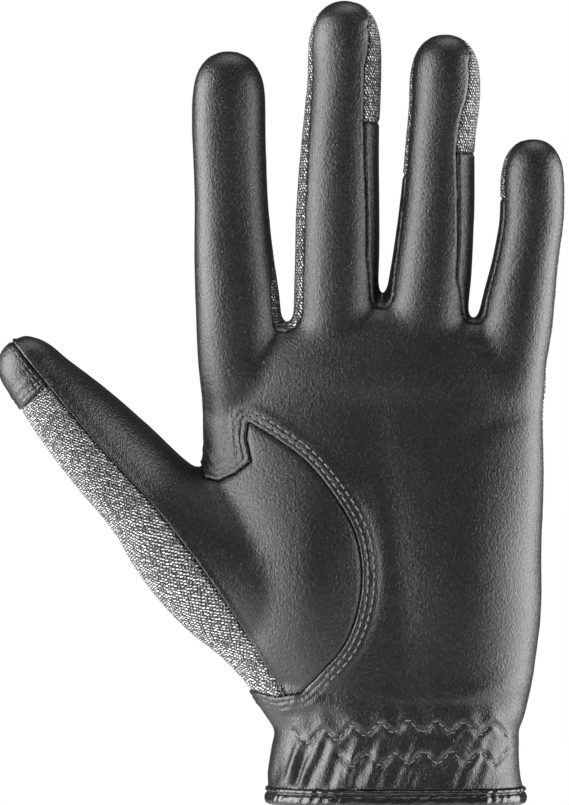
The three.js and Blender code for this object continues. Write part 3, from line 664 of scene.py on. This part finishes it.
def panelled_skin():
    """Skin cut along every seam: points, triangles and the panel number of each triangle."""
    points, triangles = remeshed_skin()
    points = smooth(points, unique_edges(triangles), SMOOTH_ROUNDS)
    points, triangles = cut(points, triangles, points[:, 2] - HEM)

    def everywhere(p):
        return np.ones(len(p), bool)

    def off_thumb(p):
        return thumb_field(p) > -THUMB_MARGIN

    def on_thumb(p):
        return thumb_field(p) < THUMB_MARGIN

    def front_thumb(p):
        return on_thumb(p) & (p[:, 1] < THUMB_BACK_LEVEL + 1)

    def in_fingers(p):
        return (p[:, 2] > STRIP_FOOT * PALM_HEIGHT) & (p[:, 0] > INDEX_EDGE)

    def behind(p):
        return p[:, 1] > 0

    def thumb_back_field(p):
        return p[:, 1] - THUMB_BACK_LEVEL

    cuts = [(level_field, shift, off_thumb) for shift in LEVEL_ROWS]
    cuts += [(strip_back_field, 0, in_fingers), (strip_end_field, 0, in_fingers)]
    cuts += [(thumb_field, shift, everywhere) for shift in GUSSET_ROWS]
    cuts += [(thumb_seam_field, shift, front_thumb) for shift in THUMB_SEAM_ROWS]
    cuts += [(thumb_back_field, 0, on_thumb), (patch_field, 0, on_thumb), (wrist_join_field, 0, behind)]
    for field, shift, near in cuts:
        points, triangles = cut_near(points, triangles, lambda p: field(p) - shift, near)
    triangles = triangles[points[triangles].mean(1)[:, 2] > HEM]
    return points, triangles, label(points[triangles].mean(1))


# Folds of the whole skin

def wave_along(place, pitch, start=0.0):
    return np.sin(2 * np.pi * place / pitch + start)


def hump(place, centre, wide):
    """Soft hump of height one."""
    return np.exp(-((place - centre) / wide) ** 2)


# Gathers: where they start and end above the hem, their lean, and their depth across the wrist.
GATHER_START = (4.3, 6.0)
GATHER_END = (12.0, 19.5)
GATHER_LEAN = 0.4
GATHER_PITCH = 5.2
RIPPLE_PITCH = 2.9
GATHER_HEIGHT = 0.75
GATHER_ACROSS = [-33, -20, -8, 2, 33]
GATHER_DEPTHS = [0.9, 1.0, 0.8, 0.3, 0.16]
# Puckers above the elastic.
PUCKER_START = (17.0, 19.5)
PUCKER_END = (20.0, 29.0)
PUCKER_PITCH = 7.3
PUCKER_LEAN = 0.25
PUCKER_HEIGHT = 0.14


def gather_height(points):
    """Gathers between the elastic and the hem, deep at the thumb side and shallow at the other."""
    x, z = points[:, 0], points[:, 2]
    front = smoothstep(-points[:, 1], -4, 4)
    rise = smoothstep(z, *GATHER_START) * (1 - smoothstep(z, *GATHER_END))
    slant = x - GATHER_LEAN * (z - BINDING_HEIGHT)
    depth = np.interp(x, GATHER_ACROSS, GATHER_DEPTHS) * (0.7 + 0.45 * np.sin(slant * 0.43 + 0.6))
    wave = wave_along(slant, GATHER_PITCH, 1.3 * np.sin(slant * 0.31 + 1))
    ripple = 0.3 * wave_along(slant, RIPPLE_PITCH, 2.0 + z * 0.45)
    above = smoothstep(z, *PUCKER_START) * (1 - smoothstep(z, *PUCKER_END))
    pucker = PUCKER_HEIGHT * above * wave_along(x + PUCKER_LEAN * z, PUCKER_PITCH, np.sin(x * 0.3))
    return (0.3 + 0.7 * front) * (rise * depth * GATHER_HEIGHT * (wave + ripple) + pucker)


ELASTIC_TOP = 28
GROOVE = (0.42, 0.5)
PUFF = (0.16, 1.3, 0.8)


def elastic_height(points):
    """Grooves that the zigzag elastic draws in, with puffs of leather in the bays of its zigzag."""
    total = np.zeros(len(points))
    near = (points[:, 1] < 0) & (points[:, 2] < ELASTIC_TOP)
    place = points[near][:, [0, 2]]
    for row in ZIGZAG_ROWS:
        line = zigzag_line(row)
        away = np.full(len(place), np.inf)
        for start, end in zip(line[:-1], line[1:]):
            edge = end - start
            share = np.clip((place - start) @ edge / (edge @ edge), 0, 1)
            away = np.minimum(away, np.linalg.norm(place - start - share[:, None] * edge, axis=1))
        total[near] += PUFF[0] * hump(away, PUFF[1], PUFF[2]) - GROOVE[0] * hump(away, 0, GROOVE[1])
    return total


def bump(points, centre, across, tall, height, turn=0.0):
    """One soft rise or dent on the palm side, an oval in the front view turned by an angle."""
    u = points[:, 0] - centre[0]
    v = points[:, 2] - centre[1]
    a = (u * math.cos(turn) + v * math.sin(turn)) / across
    b = (v * math.cos(turn) - u * math.sin(turn)) / tall
    return height * np.exp(-a * a - b * b) * smoothstep(-points[:, 1], -2, 5)


# Dents and soft rises on the palm side: centre across and up, two half sizes, height, turn.
FOLDS = [
    ((-8, 109), 30, 4.5, 0.8, 0.0),
    ((-6, 100), 34, 4.0, -0.7, 0.0),
    ((22, 96), 12, 3.0, -0.5, 0.35),
    ((-2, 66), 5.0, 26, -0.9, 0.12),
    ((-30, 31), 12, 2.2, -0.9, -0.25),
    ((-20, 26.5), 16, 2.0, 0.5, -0.2),
    ((8, 25), 24, 2.2, -0.6, 0.05),
    ((24, 30), 12, 2.6, 0.4, 0.3),
]


# How the elastic draws the wrist in: depth, height above the hem, half size.
PINCH = (0.4, 18.6, 2.2)


def fold_height(points):
    """Height of all the folds, millimetres out from the smooth skin."""
    total = gather_height(points)
    for centre, across, tall, height, turn in FOLDS:
        total = total + bump(points, centre, across, tall, height, turn)
    return total - PINCH[0] * hump(points[:, 2], PINCH[1], PINCH[2]) + elastic_height(points)


# Balls of the thumb and little finger: swell, across (share of half PALM_WIDTH), up (share of
# PALM_HEIGHT), half widths on the thumb side and on the other, half height.
BALLS = [
    (THENAR_SWELL, -0.56, 0.5, 0.65, 0.42, 0.2),
    (HYPOTHENAR_SWELL, 0.45, 0.48, 0.4, 0.4, 0.2),
]


def relax(points):
    """Swells the balls of the thumb and little finger, curls the fingers, brings the thumb forward."""
    points = np.array(points, float)
    x, y, z = points.T
    swell = np.zeros(len(x))
    for height, across, up, thumb_wide, other_wide, tall in BALLS:
        wide = np.where(x < across * HALF_PALM, thumb_wide, other_wide)
        swell += height * hump(x / HALF_PALM, across, wide) * hump(z / PALM_HEIGHT, up, tall)
    front = smoothstep(-y, 0, SWELL_DEPTH_SHARE * HALF_DEPTH)
    curl = np.maximum(z / PALM_HEIGHT - CURL_START, 0) / (1 + MIDDLE_LENGTH / PALM_HEIGHT - CURL_START)
    forward = smoothstep(-x / HALF_PALM, THUMB_FORWARD_START, THUMB_FORWARD_END)
    points[:, 1] = y - swell * front - FINGER_CURL * curl ** CURL_POWER - THUMB_FORWARD * forward
    return points


# Profiles of the seams: height of the skin at a distance from the seam line, millimetres

LAP_HEIGHT = 0.34
LAP_WIDTH = (3.2, 5.4)
HEIGHT_LIMITS = (-0.85, 0.75)
SEAM_REACH = 6.0


def plain_seam(d):
    """Two edges turned in and sewn inside: a crease between two soft rolls."""
    return 0.07 * hump(d, 0.9, 0.45) - 0.3 * hump(d, 0, 0.45) - 0.1 * hump(d, 0, 1.5)


def lap_upper(d):
    """Turned edge that lies on top, quilted down by two rows of stitches."""
    rows = 0.2 * (hump(d, 1.4, 0.34) + hump(d, 2.9, 0.36))
    return LAP_HEIGHT * (1 - smoothstep(d, *LAP_WIDTH)) - 0.22 * hump(d, 0, 0.3) - rows


def lap_lower(d):
    """Layer that runs under the turned edge."""
    return -0.34 * hump(d, 0, 0.7) - 0.1 * hump(d, 0, 2.2)


def lip_seam(d):
    """Raised lip of leather along the knit."""
    return 0.32 * hump(d, 0.55, 0.38) - 0.25 * hump(d, 0, 0.2) - 0.1 * hump(d, 1.5, 0.5)


def profile_for(here, other):
    """Profile of a panel's edge against a neighbour."""
    pair = {here, other}
    if pair in ({PALM, THUMB_FRONT}, {PALM, THUMB_KNIT}, {PATCH, THUMB_KNIT}):
        return lap_upper if here in (PALM, PATCH) else lap_lower
    if here == THUMB_FRONT and other in (THUMB_KNIT, PATCH):
        return lip_seam
    return plain_seam


def seam_points(triangles, labels):
    """For each pair of neighbouring panels, the edges of their seam."""
    pairs = np.concatenate([triangles[:, [0, 1]], triangles[:, [1, 2]], triangles[:, [2, 0]]])
    owner = np.tile(labels, 3)
    key = np.sort(pairs, axis=1)
    order = np.lexsort((key[:, 1], key[:, 0]))
    key, owner = key[order], owner[order]
    same = (key[1:] == key[:-1]).all(1) & (owner[1:] != owner[:-1])
    seams = {}
    for i in np.flatnonzero(same):
        pair = tuple(sorted((int(owner[i]), int(owner[i + 1]))))
        seams.setdefault(pair, []).append(key[i])
    return {pair: np.array(found) for pair, found in seams.items()}


def anchors_of(skin, edges):
    """Closely spaced points along seam edges."""
    a, b = skin[edges[:, 0]], skin[edges[:, 1]]
    return np.concatenate([a * (1 - t) + b * t for t in (0.0, 0.25, 0.5, 0.75)])


def distances(points, anchors, reach):
    """Distance from each point to the nearest anchor, up to a reach."""
    tree = kdtree.KDTree(len(anchors))
    for i, anchor in enumerate(anchors):
        tree.insert(anchor, i)
    tree.balance()
    low, high = anchors.min(0) - reach, anchors.max(0) + reach
    near = ((points > low) & (points < high)).all(1)
    found = np.full(len(points), np.inf)
    found[near] = [tree.find(point)[2] for point in points[near]]
    return found


def panel_mesh(number, skin, outward, triangles, labels, seams):
    """Closed wall of one panel, shaped by the seams round it."""
    own = triangles[labels == number]
    used, local = np.unique(own, return_inverse=True)
    local = local.reshape(-1, 3)
    points, out = skin[used], outward[used]
    height = np.zeros(len(used))
    for pair, found in seams.items():
        if number not in pair:
            continue
        other = pair[0] if pair[1] == number else pair[1]
        profile = profile_for(number, other)
        d = distances(points, anchors_of(skin, found), SEAM_REACH)
        near = d < SEAM_REACH
        height[near] += profile(d[near])
    height = np.clip(height, *HEIGHT_LIMITS)
    pairs = np.concatenate([local[:, [0, 1]], local[:, [1, 2]], local[:, [2, 0]]])
    key = pairs[:, 0].astype(np.int64) * len(used) + pairs[:, 1]
    back = pairs[:, 1].astype(np.int64) * len(used) + pairs[:, 0]
    rim = pairs[~np.isin(key, back)]
    edges = unique_edges(local)
    drawn = smooth(points, edges, 1, 1.0)
    inward = drawn - points
    size = np.linalg.norm(inward, axis=1, keepdims=True)
    on_rim = np.zeros(len(used), bool)
    on_rim[rim.ravel()] = True
    inset = inward / np.maximum(size, 1e-6) * np.minimum(size, SEAM_INSET)
    step = np.where(on_rim[:, None], inset, 0)
    outer = points + step + out * height[:, None]
    inner = points + step - out * WALL
    shift = len(used)
    side = np.concatenate([
        np.stack([rim[:, 1], rim[:, 0], rim[:, 0] + shift], 1),
        np.stack([rim[:, 1], rim[:, 0] + shift, rim[:, 1] + shift], 1)])
    faces = np.concatenate([local, local[:, ::-1] + shift, side])
    return np.concatenate([outer, inner]), faces, np.tile(weave_place(points), (2, 1))


KNIT_TURN = (-4, 8)
THUMB_ROUND_SHARE = 0.36


def weave_place(points):
    """Place on the knit, across and along it in millimetres, from the place on the glove."""
    x, y, z = points.T
    *_, back, _ = hand_section(z)
    across, along = x + np.sign(x) * (back - y), z.copy()
    finger = strip_number(points) // 2
    for number, (name, (_, width, root, _)) in enumerate(FINGERS.items()):
        here = finger == number
        centre = finger_across(name, z[here])
        angle = np.arctan2(y[here] / FINGER_DEPTH_SHARE, x[here] - centre)
        angle = np.where(angle < -math.pi / 2, angle + 2 * math.pi, angle)
        round_place = root * HALF_PALM + width / 2 * (math.pi / 2 - angle)
        share = smoothstep(z[here] - PALM_HEIGHT, *KNIT_TURN)
        across[here] = across[here] * (1 - share) + round_place * share
    thumb = thumb_field(points) < 0
    length, aside = thumb_lengths(points)
    turned = np.arctan2(y, -aside) * THUMB_WIDTH * THUMB_ROUND_SHARE
    across = np.where(thumb, turned, across)
    along = np.where(thumb, length, along)
    return np.stack([across, along, np.zeros(len(x))], axis=1)


# Materials. Colours are grey levels of the base; lengths of bumps are in metres.

LEATHER_DARK, LEATHER_LIGHT = (0.003, 0.003, 0.0032), (0.014, 0.014, 0.0145)
# Knit colours: painted shade in the holes, and a near-white painted glint on the threads that stands over
# the black thread's own colour.
HOLE_PAINTED_SHADE, KNIT_PAINTED_GLINT = (0.003, 0.003, 0.0035), (0.85, 0.85, 0.86)
BINDING_DARK, BINDING_LIGHT = (0.004, 0.004, 0.004), (0.012, 0.012, 0.0125)
# The thread's lighter colour is painted sheen, the catch light on glossy thread, and the darker colour is
# the thread's own black.
THREAD_DARK, THREAD_PAINTED_SHEEN = (0.03, 0.03, 0.031), (0.17, 0.17, 0.175)
GRAIN_SCALE, GRAIN_TURN = (2500, 2500, 1500), 0.7
CREASE_SCALE = (1250, 1250, 1250)
CLOUD_SCALE = (90, 90, 90)
CRINKLE_SCALE = (330, 330, 700)
SHINE_SCALE = (1300, 1300, 1300)
TWIST_SCALE = (2600, 2600, 2600)
ROW_SHARE = 0.8
LEFT_LEANING = 0.3
THREAD_JITTER = 0.3
THREAD_COS, THREAD_SIN = 0.55, 0.83
THREAD_HALF_LENGTH, THREAD_HALF_WIDTH = 0.55, 0.26


class Nodes:
    """A new material with short ways to add its nodes."""

    def __init__(self, name):
        self.material = bpy.data.materials.new(name)
        self.material.use_nodes = True
        self.tree = self.material.node_tree
        self.shader = self.tree.nodes["Principled BSDF"]

    def add(self, kind, **settings):
        node = self.tree.nodes.new(kind)
        for key, value in settings.items():
            setattr(node, key, value)
        return node

    def link(self, source, socket):
        self.tree.links.new(source, socket)

    def calc(self, operation, *values):
        """Result of a sum on sockets and numbers."""
        node = self.add("ShaderNodeMath", operation=operation)
        for socket, value in zip(node.inputs, values):
            if isinstance(value, (int, float)):
                socket.default_value = value
            else:
                self.link(value, socket)
        return node.outputs[0]

    def noise(self, vector, detail, rough=0.5, scale=1.0):
        node = self.add("ShaderNodeTexNoise")
        node.inputs["Scale"].default_value = scale
        node.inputs["Detail"].default_value = detail
        node.inputs["Roughness"].default_value = rough
        self.link(vector, node.inputs["Vector"])
        return node.outputs["Fac"]

    def object_noise(self, scale, detail, rough=0.5, turn=0.0):
        """Noise on the object, scaled and turned in the front view."""
        place = self.add("ShaderNodeTexCoord")
        mapping = self.add("ShaderNodeMapping")
        mapping.inputs["Rotation"].default_value = (0, turn, 0)
        mapping.inputs["Scale"].default_value = scale
        self.link(place.outputs["Object"], mapping.inputs["Vector"])
        return self.noise(mapping.outputs["Vector"], detail, rough)

    def ramp(self, value, low, high, to_low=0.0, to_high=1.0):
        node = self.add("ShaderNodeMapRange", clamp=True)
        numbers = {"From Min": low, "From Max": high, "To Min": to_low, "To Max": to_high}
        for name, number in numbers.items():
            node.inputs[name].default_value = number
        self.link(value, node.inputs["Value"])
        return node.outputs["Result"]

    def colour(self, share, first, second):
        node = self.add("ShaderNodeMix", data_type="RGBA")
        self.link(share, node.inputs[0])
        node.inputs[6].default_value = (*first, 1)
        node.inputs[7].default_value = (*second, 1)
        self.link(node.outputs[2], self.shader.inputs["Base Color"])

    def roughness(self, value):
        self.link(value, self.shader.inputs["Roughness"])

    def bump(self, height, distance, strength=1.0, before=None):
        node = self.add("ShaderNodeBump")
        node.inputs["Strength"].default_value = strength
        node.inputs["Distance"].default_value = distance
        self.link(height, node.inputs["Height"])
        if before is not None:
            self.link(before, node.inputs["Normal"])
        self.link(node.outputs["Normal"], self.shader.inputs["Normal"])
        return node.outputs["Normal"]


def leather_material():
    """Smooth black synthetic leather with fine slanted specks of grain."""
    nodes = Nodes("black_leather")
    specks = nodes.object_noise(GRAIN_SCALE, 3.0, 0.6, GRAIN_TURN)
    cloudy = nodes.object_noise(CLOUD_SCALE, 3.0)
    share = nodes.calc("MULTIPLY", nodes.ramp(specks, 0.35, 0.7), nodes.ramp(cloudy, 0.2, 0.8, 0.6, 1.0))
    nodes.colour(share, LEATHER_DARK, LEATHER_LIGHT)
    nodes.roughness(nodes.ramp(specks, 0.3, 0.7, 0.34, 0.24))
    nodes.shader.inputs["Specular IOR Level"].default_value = 0.5
    soft = nodes.bump(nodes.object_noise(CREASE_SCALE, 3.0), 0.0002, 0.6)
    nodes.bump(specks, 0.00016, 1.0, soft)
    return nodes.material


def knit_material():
    """Open black mesh knit: rows of slanted threads between holes; the threads carry painted glints of
    random strength, and the holes carry painted shade.
    """
    nodes = Nodes("black_mesh_knit")
    calc = nodes.calc
    place = nodes.add("ShaderNodeAttribute", attribute_name="weave").outputs["Vector"]
    split = nodes.add("ShaderNodeSeparateXYZ")
    nodes.link(place, split.inputs[0])
    wobble = nodes.noise(place, 1.0, scale=0.5)
    across = calc("ADD", split.outputs[0], calc("MULTIPLY", wobble, 0.5))
    along = calc("ADD", split.outputs[1], calc("MULTIPLY", wobble, 0.4))
    along = calc("DIVIDE", along, KNIT_PITCH * ROW_SHARE)
    row = calc("FLOOR", along)
    shifted = calc("ADD", calc("DIVIDE", across, KNIT_PITCH), calc("MULTIPLY", row, 0.5))
    in_x = calc("SUBTRACT", calc("FRACT", shifted), 0.5)
    in_y = calc("SUBTRACT", calc("FRACT", along), 0.5)
    ids = nodes.add("ShaderNodeCombineXYZ")
    nodes.link(calc("FLOOR", shifted), ids.inputs[0])
    nodes.link(row, ids.inputs[1])
    random = nodes.add("ShaderNodeTexWhiteNoise", noise_dimensions="2D")
    nodes.link(ids.outputs[0], random.inputs["Vector"])
    parts = nodes.add("ShaderNodeSeparateColor")
    nodes.link(random.outputs["Color"], parts.inputs[0])

    def jitter(value, part):
        return calc("ADD", value, calc("MULTIPLY", calc("SUBTRACT", part, 0.5), THREAD_JITTER))

    def turned(first, second):
        return calc("MULTIPLY", first, THREAD_COS), calc("MULTIPLY", second, THREAD_SIN)

    upright = calc("GREATER_THAN", parts.outputs[0], LEFT_LEANING)
    lean = calc("SUBTRACT", calc("MULTIPLY", upright, 2.0), 1.0)
    moved_x = jitter(calc("MULTIPLY", in_x, lean), parts.outputs[1])
    moved_y = jitter(in_y, parts.outputs[2])
    along_thread = calc("ADD", *turned(moved_x, moved_y))
    over_thread = calc("SUBTRACT", *reversed(turned(moved_y, moved_x)))
    reach = calc("POWER", calc("DIVIDE", along_thread, THREAD_HALF_LENGTH), 2.0)
    width = calc("POWER", calc("DIVIDE", over_thread, THREAD_HALF_WIDTH), 2.0)
    thread = nodes.ramp(calc("SQRT", calc("ADD", reach, width)), 1.05, 0.65)
    # Painted glint: each thread is lightened at random towards the near-white glint colour, and the gaps
    # keep the painted shade of the holes; strength is the share of painted glint at a spot.
    glint_share = nodes.ramp(calc("POWER", random.outputs["Value"], 1.2), 0, 1, 0.12, 1.0)
    strength = calc("MULTIPLY", thread, glint_share)
    nodes.colour(strength, HOLE_PAINTED_SHADE, KNIT_PAINTED_GLINT)
    nodes.roughness(nodes.ramp(strength, 0, 1, 0.75, 0.38))
    nodes.bump(thread, 0.0004)
    return nodes.material


def binding_material():
    """Smooth glossy black strip with small crinkles."""
    nodes = Nodes("black_binding")
    crinkle = nodes.object_noise(CRINKLE_SCALE, 3.0, 0.55)
    fine = nodes.object_noise(SHINE_SCALE, 2.0)
    nodes.colour(crinkle, BINDING_DARK, BINDING_LIGHT)
    nodes.roughness(nodes.ramp(fine, 0.3, 0.7, 0.12, 0.2))
    soft = nodes.bump(crinkle, 0.0006, 0.7)
    nodes.bump(fine, 0.00008, 0.5, soft)
    return nodes.material


def thread_material():
    """Waxed black sewing thread with a twist; its colour wavers along the twist between its own black and a
    grey painted sheen for the glossy thread's catch light.
    """
    nodes = Nodes("black_thread")
    twist = nodes.object_noise(TWIST_SCALE, 2.0)
    # Painted sheen: the twist noise mixes the thread's own black with the grey painted sheen.
    nodes.colour(twist, THREAD_DARK, THREAD_PAINTED_SHEEN)
    nodes.roughness(nodes.ramp(twist, 0.2, 0.8, 0.5, 0.3))
    nodes.bump(twist, 0.00008, 0.8)
    return nodes.material


# Pieces

def finish_piece(obj, material, slot, nodes, place=None):
    """Gives a piece its material and its place in the frame."""
    obj.data.polygons.foreach_set("use_smooth", [True] * len(obj.data.polygons))
    obj.data.materials.append(material)
    if place is not None:
        attribute = obj.data.attributes.new("weave", "FLOAT_VECTOR", "POINT")
        attribute.data.foreach_set("vector", place.astype(np.float32).ravel())
    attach(obj, "root")
    if nodes:
        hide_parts(*nodes)


BINDING_STEPS = 360
CRINKLE_WAVES = 6
LUMP_WAVES = 4
CRINKLE_HEIGHT = 0.22
LUMP_HEIGHT = 0.14
JOIN_HEIGHT = 0.35
JOIN_WIDTH = 0.9
HALF_WRIST = WRIST_WIDTH / 2


def binding_rings():
    """Rings of the rolled binding, one for each row of its profile."""
    angle = 2 * np.pi * np.arange(BINDING_STEPS) / BINDING_STEPS
    cos, sin = np.cos(angle), np.sin(angle)
    power = 2 / HAND_ROUNDNESS
    ux, uy = np.sign(cos) * np.abs(cos) ** power, np.sign(sin) * np.abs(sin) ** power
    waves = np.random.default_rng(7).normal(0, 1, (CRINKLE_WAVES, 4))
    rings = []
    for up, out in BINDING_PROFILE:
        height = up * BINDING_HEIGHT
        thumb, little, front, back, _ = hand_section(max(height, 0))
        crinkle = sum(size * np.sin(angle * (17 + 9 * k) + start + up * twist * 3)
                      for k, (size, start, twist, _) in enumerate(waves)) / CRINKLE_WAVES
        lumpy = sum(size * np.sin(angle * (3 + 2 * k) + start * 2)
                    for k, (_, start, _, size) in enumerate(waves[:LUMP_WAVES])) / LUMP_WAVES
        overlap = hump(ux * HALF_WRIST, BINDING_JOIN, JOIN_WIDTH) * (uy < 0) * (out > 0)
        proud = out * BINDING_ROLL + (CRINKLE_HEIGHT * crinkle + LUMP_HEIGHT * lumpy) * (out > -0.5)
        proud = proud + JOIN_HEIGHT * overlap
        x = (little - thumb) / 2 + ((little + thumb) / 2 + proud) * ux
        y = (np.where(uy < 0, front, back) + proud) * uy
        rings.append(np.stack([x, y, height + 0.05 * crinkle * (0 < up < 0.9)], axis=1))
    return rings


def binding_object(material):
    rings = binding_rings()
    faces = []
    for r in range(len(rings)):
        low, high = r * BINDING_STEPS, (r + 1) % len(rings) * BINDING_STEPS
        for i in range(BINDING_STEPS):
            j = (i + 1) % BINDING_STEPS
            faces.append((low + i, low + j, high + j, high + i))
    obj = new_object("hem_binding_rolled", relax(np.concatenate(rings)), faces)
    finish_piece(obj, material, "binding", ["hem_binding"])


def offset_line(line, away):
    """A front-view line moved sideways to its right by a length."""
    along = np.gradient(line, axis=0)
    along /= np.linalg.norm(along, axis=1, keepdims=True)
    return line + away * np.stack([along[:, 1], -along[:, 0]], axis=1)


def even_points(line, pitch):
    """Points a pitch apart along a line."""
    run = np.concatenate([[0], np.cumsum(np.linalg.norm(np.diff(line, axis=0), axis=1))])
    at = np.arange(pitch / 2, run[-1], pitch)
    return np.stack([np.interp(at, run, line[:, k]) for k in range(2)], axis=1)


def zigzag_line(row):
    first, _, last = row["x"]
    x = np.arange(first, last, ZIGZAG_PITCH / 2)
    z = hermite(np.array(row["x"]), np.array(row["z"]), x)
    return np.stack([x, z + ZIGZAG_SWING * np.where(np.arange(len(x)) % 2, -1, 1)], axis=1)


class Sewing:
    """Collects stitches that lie on the skin."""

    def __init__(self, tree):
        self.tree = tree
        self.verts = []
        self.faces = []

    def surface(self, x, z):
        """Point and normal of the skin seen from the front, or None twice."""
        place, normal, _, _ = self.tree.ray_cast(Vector((x, -FAR / 2, z)), Vector((0, 1, 0)))
        return (None, None) if place is None else (np.array(place), np.array(normal))

    def stitch(self, a, b, normal, radius):
        """One short thread, bent so that its two ends go into the skin."""
        along = b - a
        length = np.linalg.norm(along)
        along = along / length
        side = np.cross(along, normal)
        side /= np.linalg.norm(side)
        up = np.cross(side, along)
        start = len(self.verts)
        for t, rise, width in THREAD_BEND:
            centre = a + along * length * t + up * rise * radius
            for k in range(THREAD_SIDES):
                angle = 2 * math.pi * k / THREAD_SIDES
                outward = math.cos(angle) * side + math.sin(angle) * up
                self.verts.append(centre + radius * width * outward)
        rows = len(THREAD_BEND)
        for r in range(rows - 1):
            for k in range(THREAD_SIDES):
                n = (k + 1) % THREAD_SIDES
                low, high = start + r * THREAD_SIDES, start + (r + 1) * THREAD_SIDES
                self.faces.append((low + k, low + n, high + n, high + k))
        self.faces.append(tuple(start + k for k in reversed(range(THREAD_SIDES))))
        self.faces.append(tuple(start + (rows - 1) * THREAD_SIDES + k for k in range(THREAD_SIDES)))

    def row(self, line, pitch=STITCH_PITCH, share=STITCH_SHARE, radius=THREAD_RADIUS):
        """A row of stitches along a front-view line."""
        middles = even_points(np.asarray(line, float), pitch)
        for i, middle in enumerate(middles):
            ahead = middles[min(i + 1, len(middles) - 1)] - middles[max(i - 1, 0)]
            ahead = ahead / max(np.linalg.norm(ahead), 1e-6) * pitch * share / 2
            a, a_normal = self.surface(*(middle - ahead))
            b, b_normal = self.surface(*(middle + ahead))
            if a is None or b is None or np.linalg.norm(a - b) > 2 * pitch:
                continue
            self.stitch(a, b, (a_normal + b_normal) / 2, radius)


def sew(tree, material):
    """All the stitches that show on the palm side."""
    sewing = Sewing(tree)
    for away in GUSSET_STITCHES:
        sewing.row(offset_line(GUSSET_CURVE, -away))
    for line in QUIRK_STITCHES:
        sewing.row(line, pitch=FINE_PITCH)
    seam_rows = np.array(THUMB_SEAM[::-1])
    along = np.linspace(*THUMB_STITCHES_ALONG, 90)
    aside = hermite(seam_rows[:, 0], seam_rows[:, 1], along)
    for away in THUMB_STITCHES:
        line = [thumb_place(a * THUMB_LENGTH, b * THUMB_WIDTH - away)[[0, 2]] for a, b in zip(along, aside)]
        sewing.row(line, pitch=FINE_PITCH, radius=FINE_RADIUS)
    for away in PATCH_STITCHES:
        at = TIP_PATCH_ALONG * THUMB_LENGTH + away
        line = [thumb_place(at, aside)[[0, 2]] for aside in np.linspace(*PATCH_STITCHES_ASIDE, 8)]
        sewing.row(line, pitch=PATCH_PITCH)
    for row in ZIGZAG_ROWS:
        sewing.row(zigzag_line(row), pitch=FINE_PITCH, share=ZIGZAG_SHARE, radius=ZIGZAG_RADIUS)
    obj = new_object("seam_stitching", sewing.verts, sewing.faces)
    finish_piece(obj, material, "palm_leather", [])


def build_glove():
    leather, knit, thread = leather_material(), knit_material(), thread_material()
    skin, triangles, labels = panelled_skin()
    outward = normals(skin, triangles)
    skin = skin + outward * fold_height(skin)[:, None]
    seams = seam_points(triangles, labels)
    all_verts, all_faces, start = [], [], 0
    for number, name in enumerate(PIECES):
        verts, faces, place = panel_mesh(number, skin, outward, triangles, labels, seams)
        verts = relax(verts)
        obj = new_object(name + "_sewn", verts, faces)
        material, slot = (knit, "knit") if number in KNIT_PANELS else (leather, "palm_leather")
        finish_piece(obj, material, slot, [name], place)
        all_verts.append(verts)
        all_faces.append(faces + start)
        start += len(verts)
    tree = BVHTree.FromPolygons(np.concatenate(all_verts).tolist(), np.concatenate(all_faces).tolist())
    binding_object(binding_material())
    sew(tree, thread)


# Camera, floor and light, in metres and watts

SENSOR_HEIGHT = 24
CLIP_END = 10
FLOOR_COLOUR = (0.85, 0.85, 0.85, 1)
FLOOR_ROUGHNESS = 0.7
ROOM_LIGHT = 0.1
WHITE = (1, 1, 1, 1)
# name, place, width and height, power
LIGHTS = [
    ("softbox_left", (-0.8, -0.27, 0.12), (1.05, 1.1), 39),
    ("softbox_right", (0.8, 0.0, 0.08), (0.85, 0.8), 19),
    ("top_fill", (0.15, -0.1, 1.3), (0.9, 0.6), 7),
]


def area_light(name, place, size, power, aim=(0, 0, 0.1)):
    light = bpy.data.lights.new(name, "AREA")
    light.shape = "RECTANGLE"
    light.size, light.size_y = size
    light.energy = power
    obj = bpy.data.objects.new(name, light)
    obj.location = place
    obj.rotation_euler = (Vector(aim) - Vector(place)).to_track_quat("-Z", "Y").to_euler()
    bpy.context.scene.collection.objects.link(obj)


def build_scene():
    scene = bpy.context.scene
    camera = bpy.data.cameras.new("photo_camera")
    camera.sensor_fit = "VERTICAL"
    camera.sensor_height = SENSOR_HEIGHT
    camera.lens = SENSOR_HEIGHT * CAMERA_AWAY / VIEW_HEIGHT
    camera.clip_end = CLIP_END
    obj = bpy.data.objects.new("photo_camera", camera)
    obj.location = (VIEW_CENTRE[0], -CAMERA_AWAY, VIEW_CENTRE[1])
    obj.rotation_euler = (math.pi / 2, 0, 0)
    scene.collection.objects.link(obj)
    scene.camera = obj

    corners = [(-1, -1), (1, -1), (1, 1), (-1, 1)]
    verts = [(x * FLOOR_HALF, y * FLOOR_HALF, FLOOR_LEVEL) for x, y in corners]
    floor = new_object("pale_floor", verts, [(0, 1, 2, 3)])
    nodes = Nodes("pale_floor")
    nodes.shader.inputs["Base Color"].default_value = FLOOR_COLOUR
    nodes.shader.inputs["Roughness"].default_value = FLOOR_ROUGHNESS
    floor.data.materials.append(nodes.material)

    for light in LIGHTS:
        area_light(*light)

    world = bpy.data.worlds.new("white_studio")
    scene.world = world
    world.use_nodes = True
    tree = world.node_tree
    tree.nodes.clear()
    out = tree.nodes.new("ShaderNodeOutputWorld")
    pick = tree.nodes.new("ShaderNodeMixShader")
    path = tree.nodes.new("ShaderNodeLightPath")
    seen, lit = (tree.nodes.new("ShaderNodeBackground") for _ in range(2))
    seen.inputs["Color"].default_value = WHITE
    lit.inputs["Color"].default_value = WHITE
    lit.inputs["Strength"].default_value = ROOM_LIGHT
    tree.links.new(path.outputs["Is Camera Ray"], pick.inputs[0])
    tree.links.new(lit.outputs[0], pick.inputs[1])
    tree.links.new(seen.outputs[0], pick.inputs[2])
    tree.links.new(pick.outputs[0], out.inputs[0])
    scene.view_settings.view_transform = "Standard"


build_glove()
build_scene()
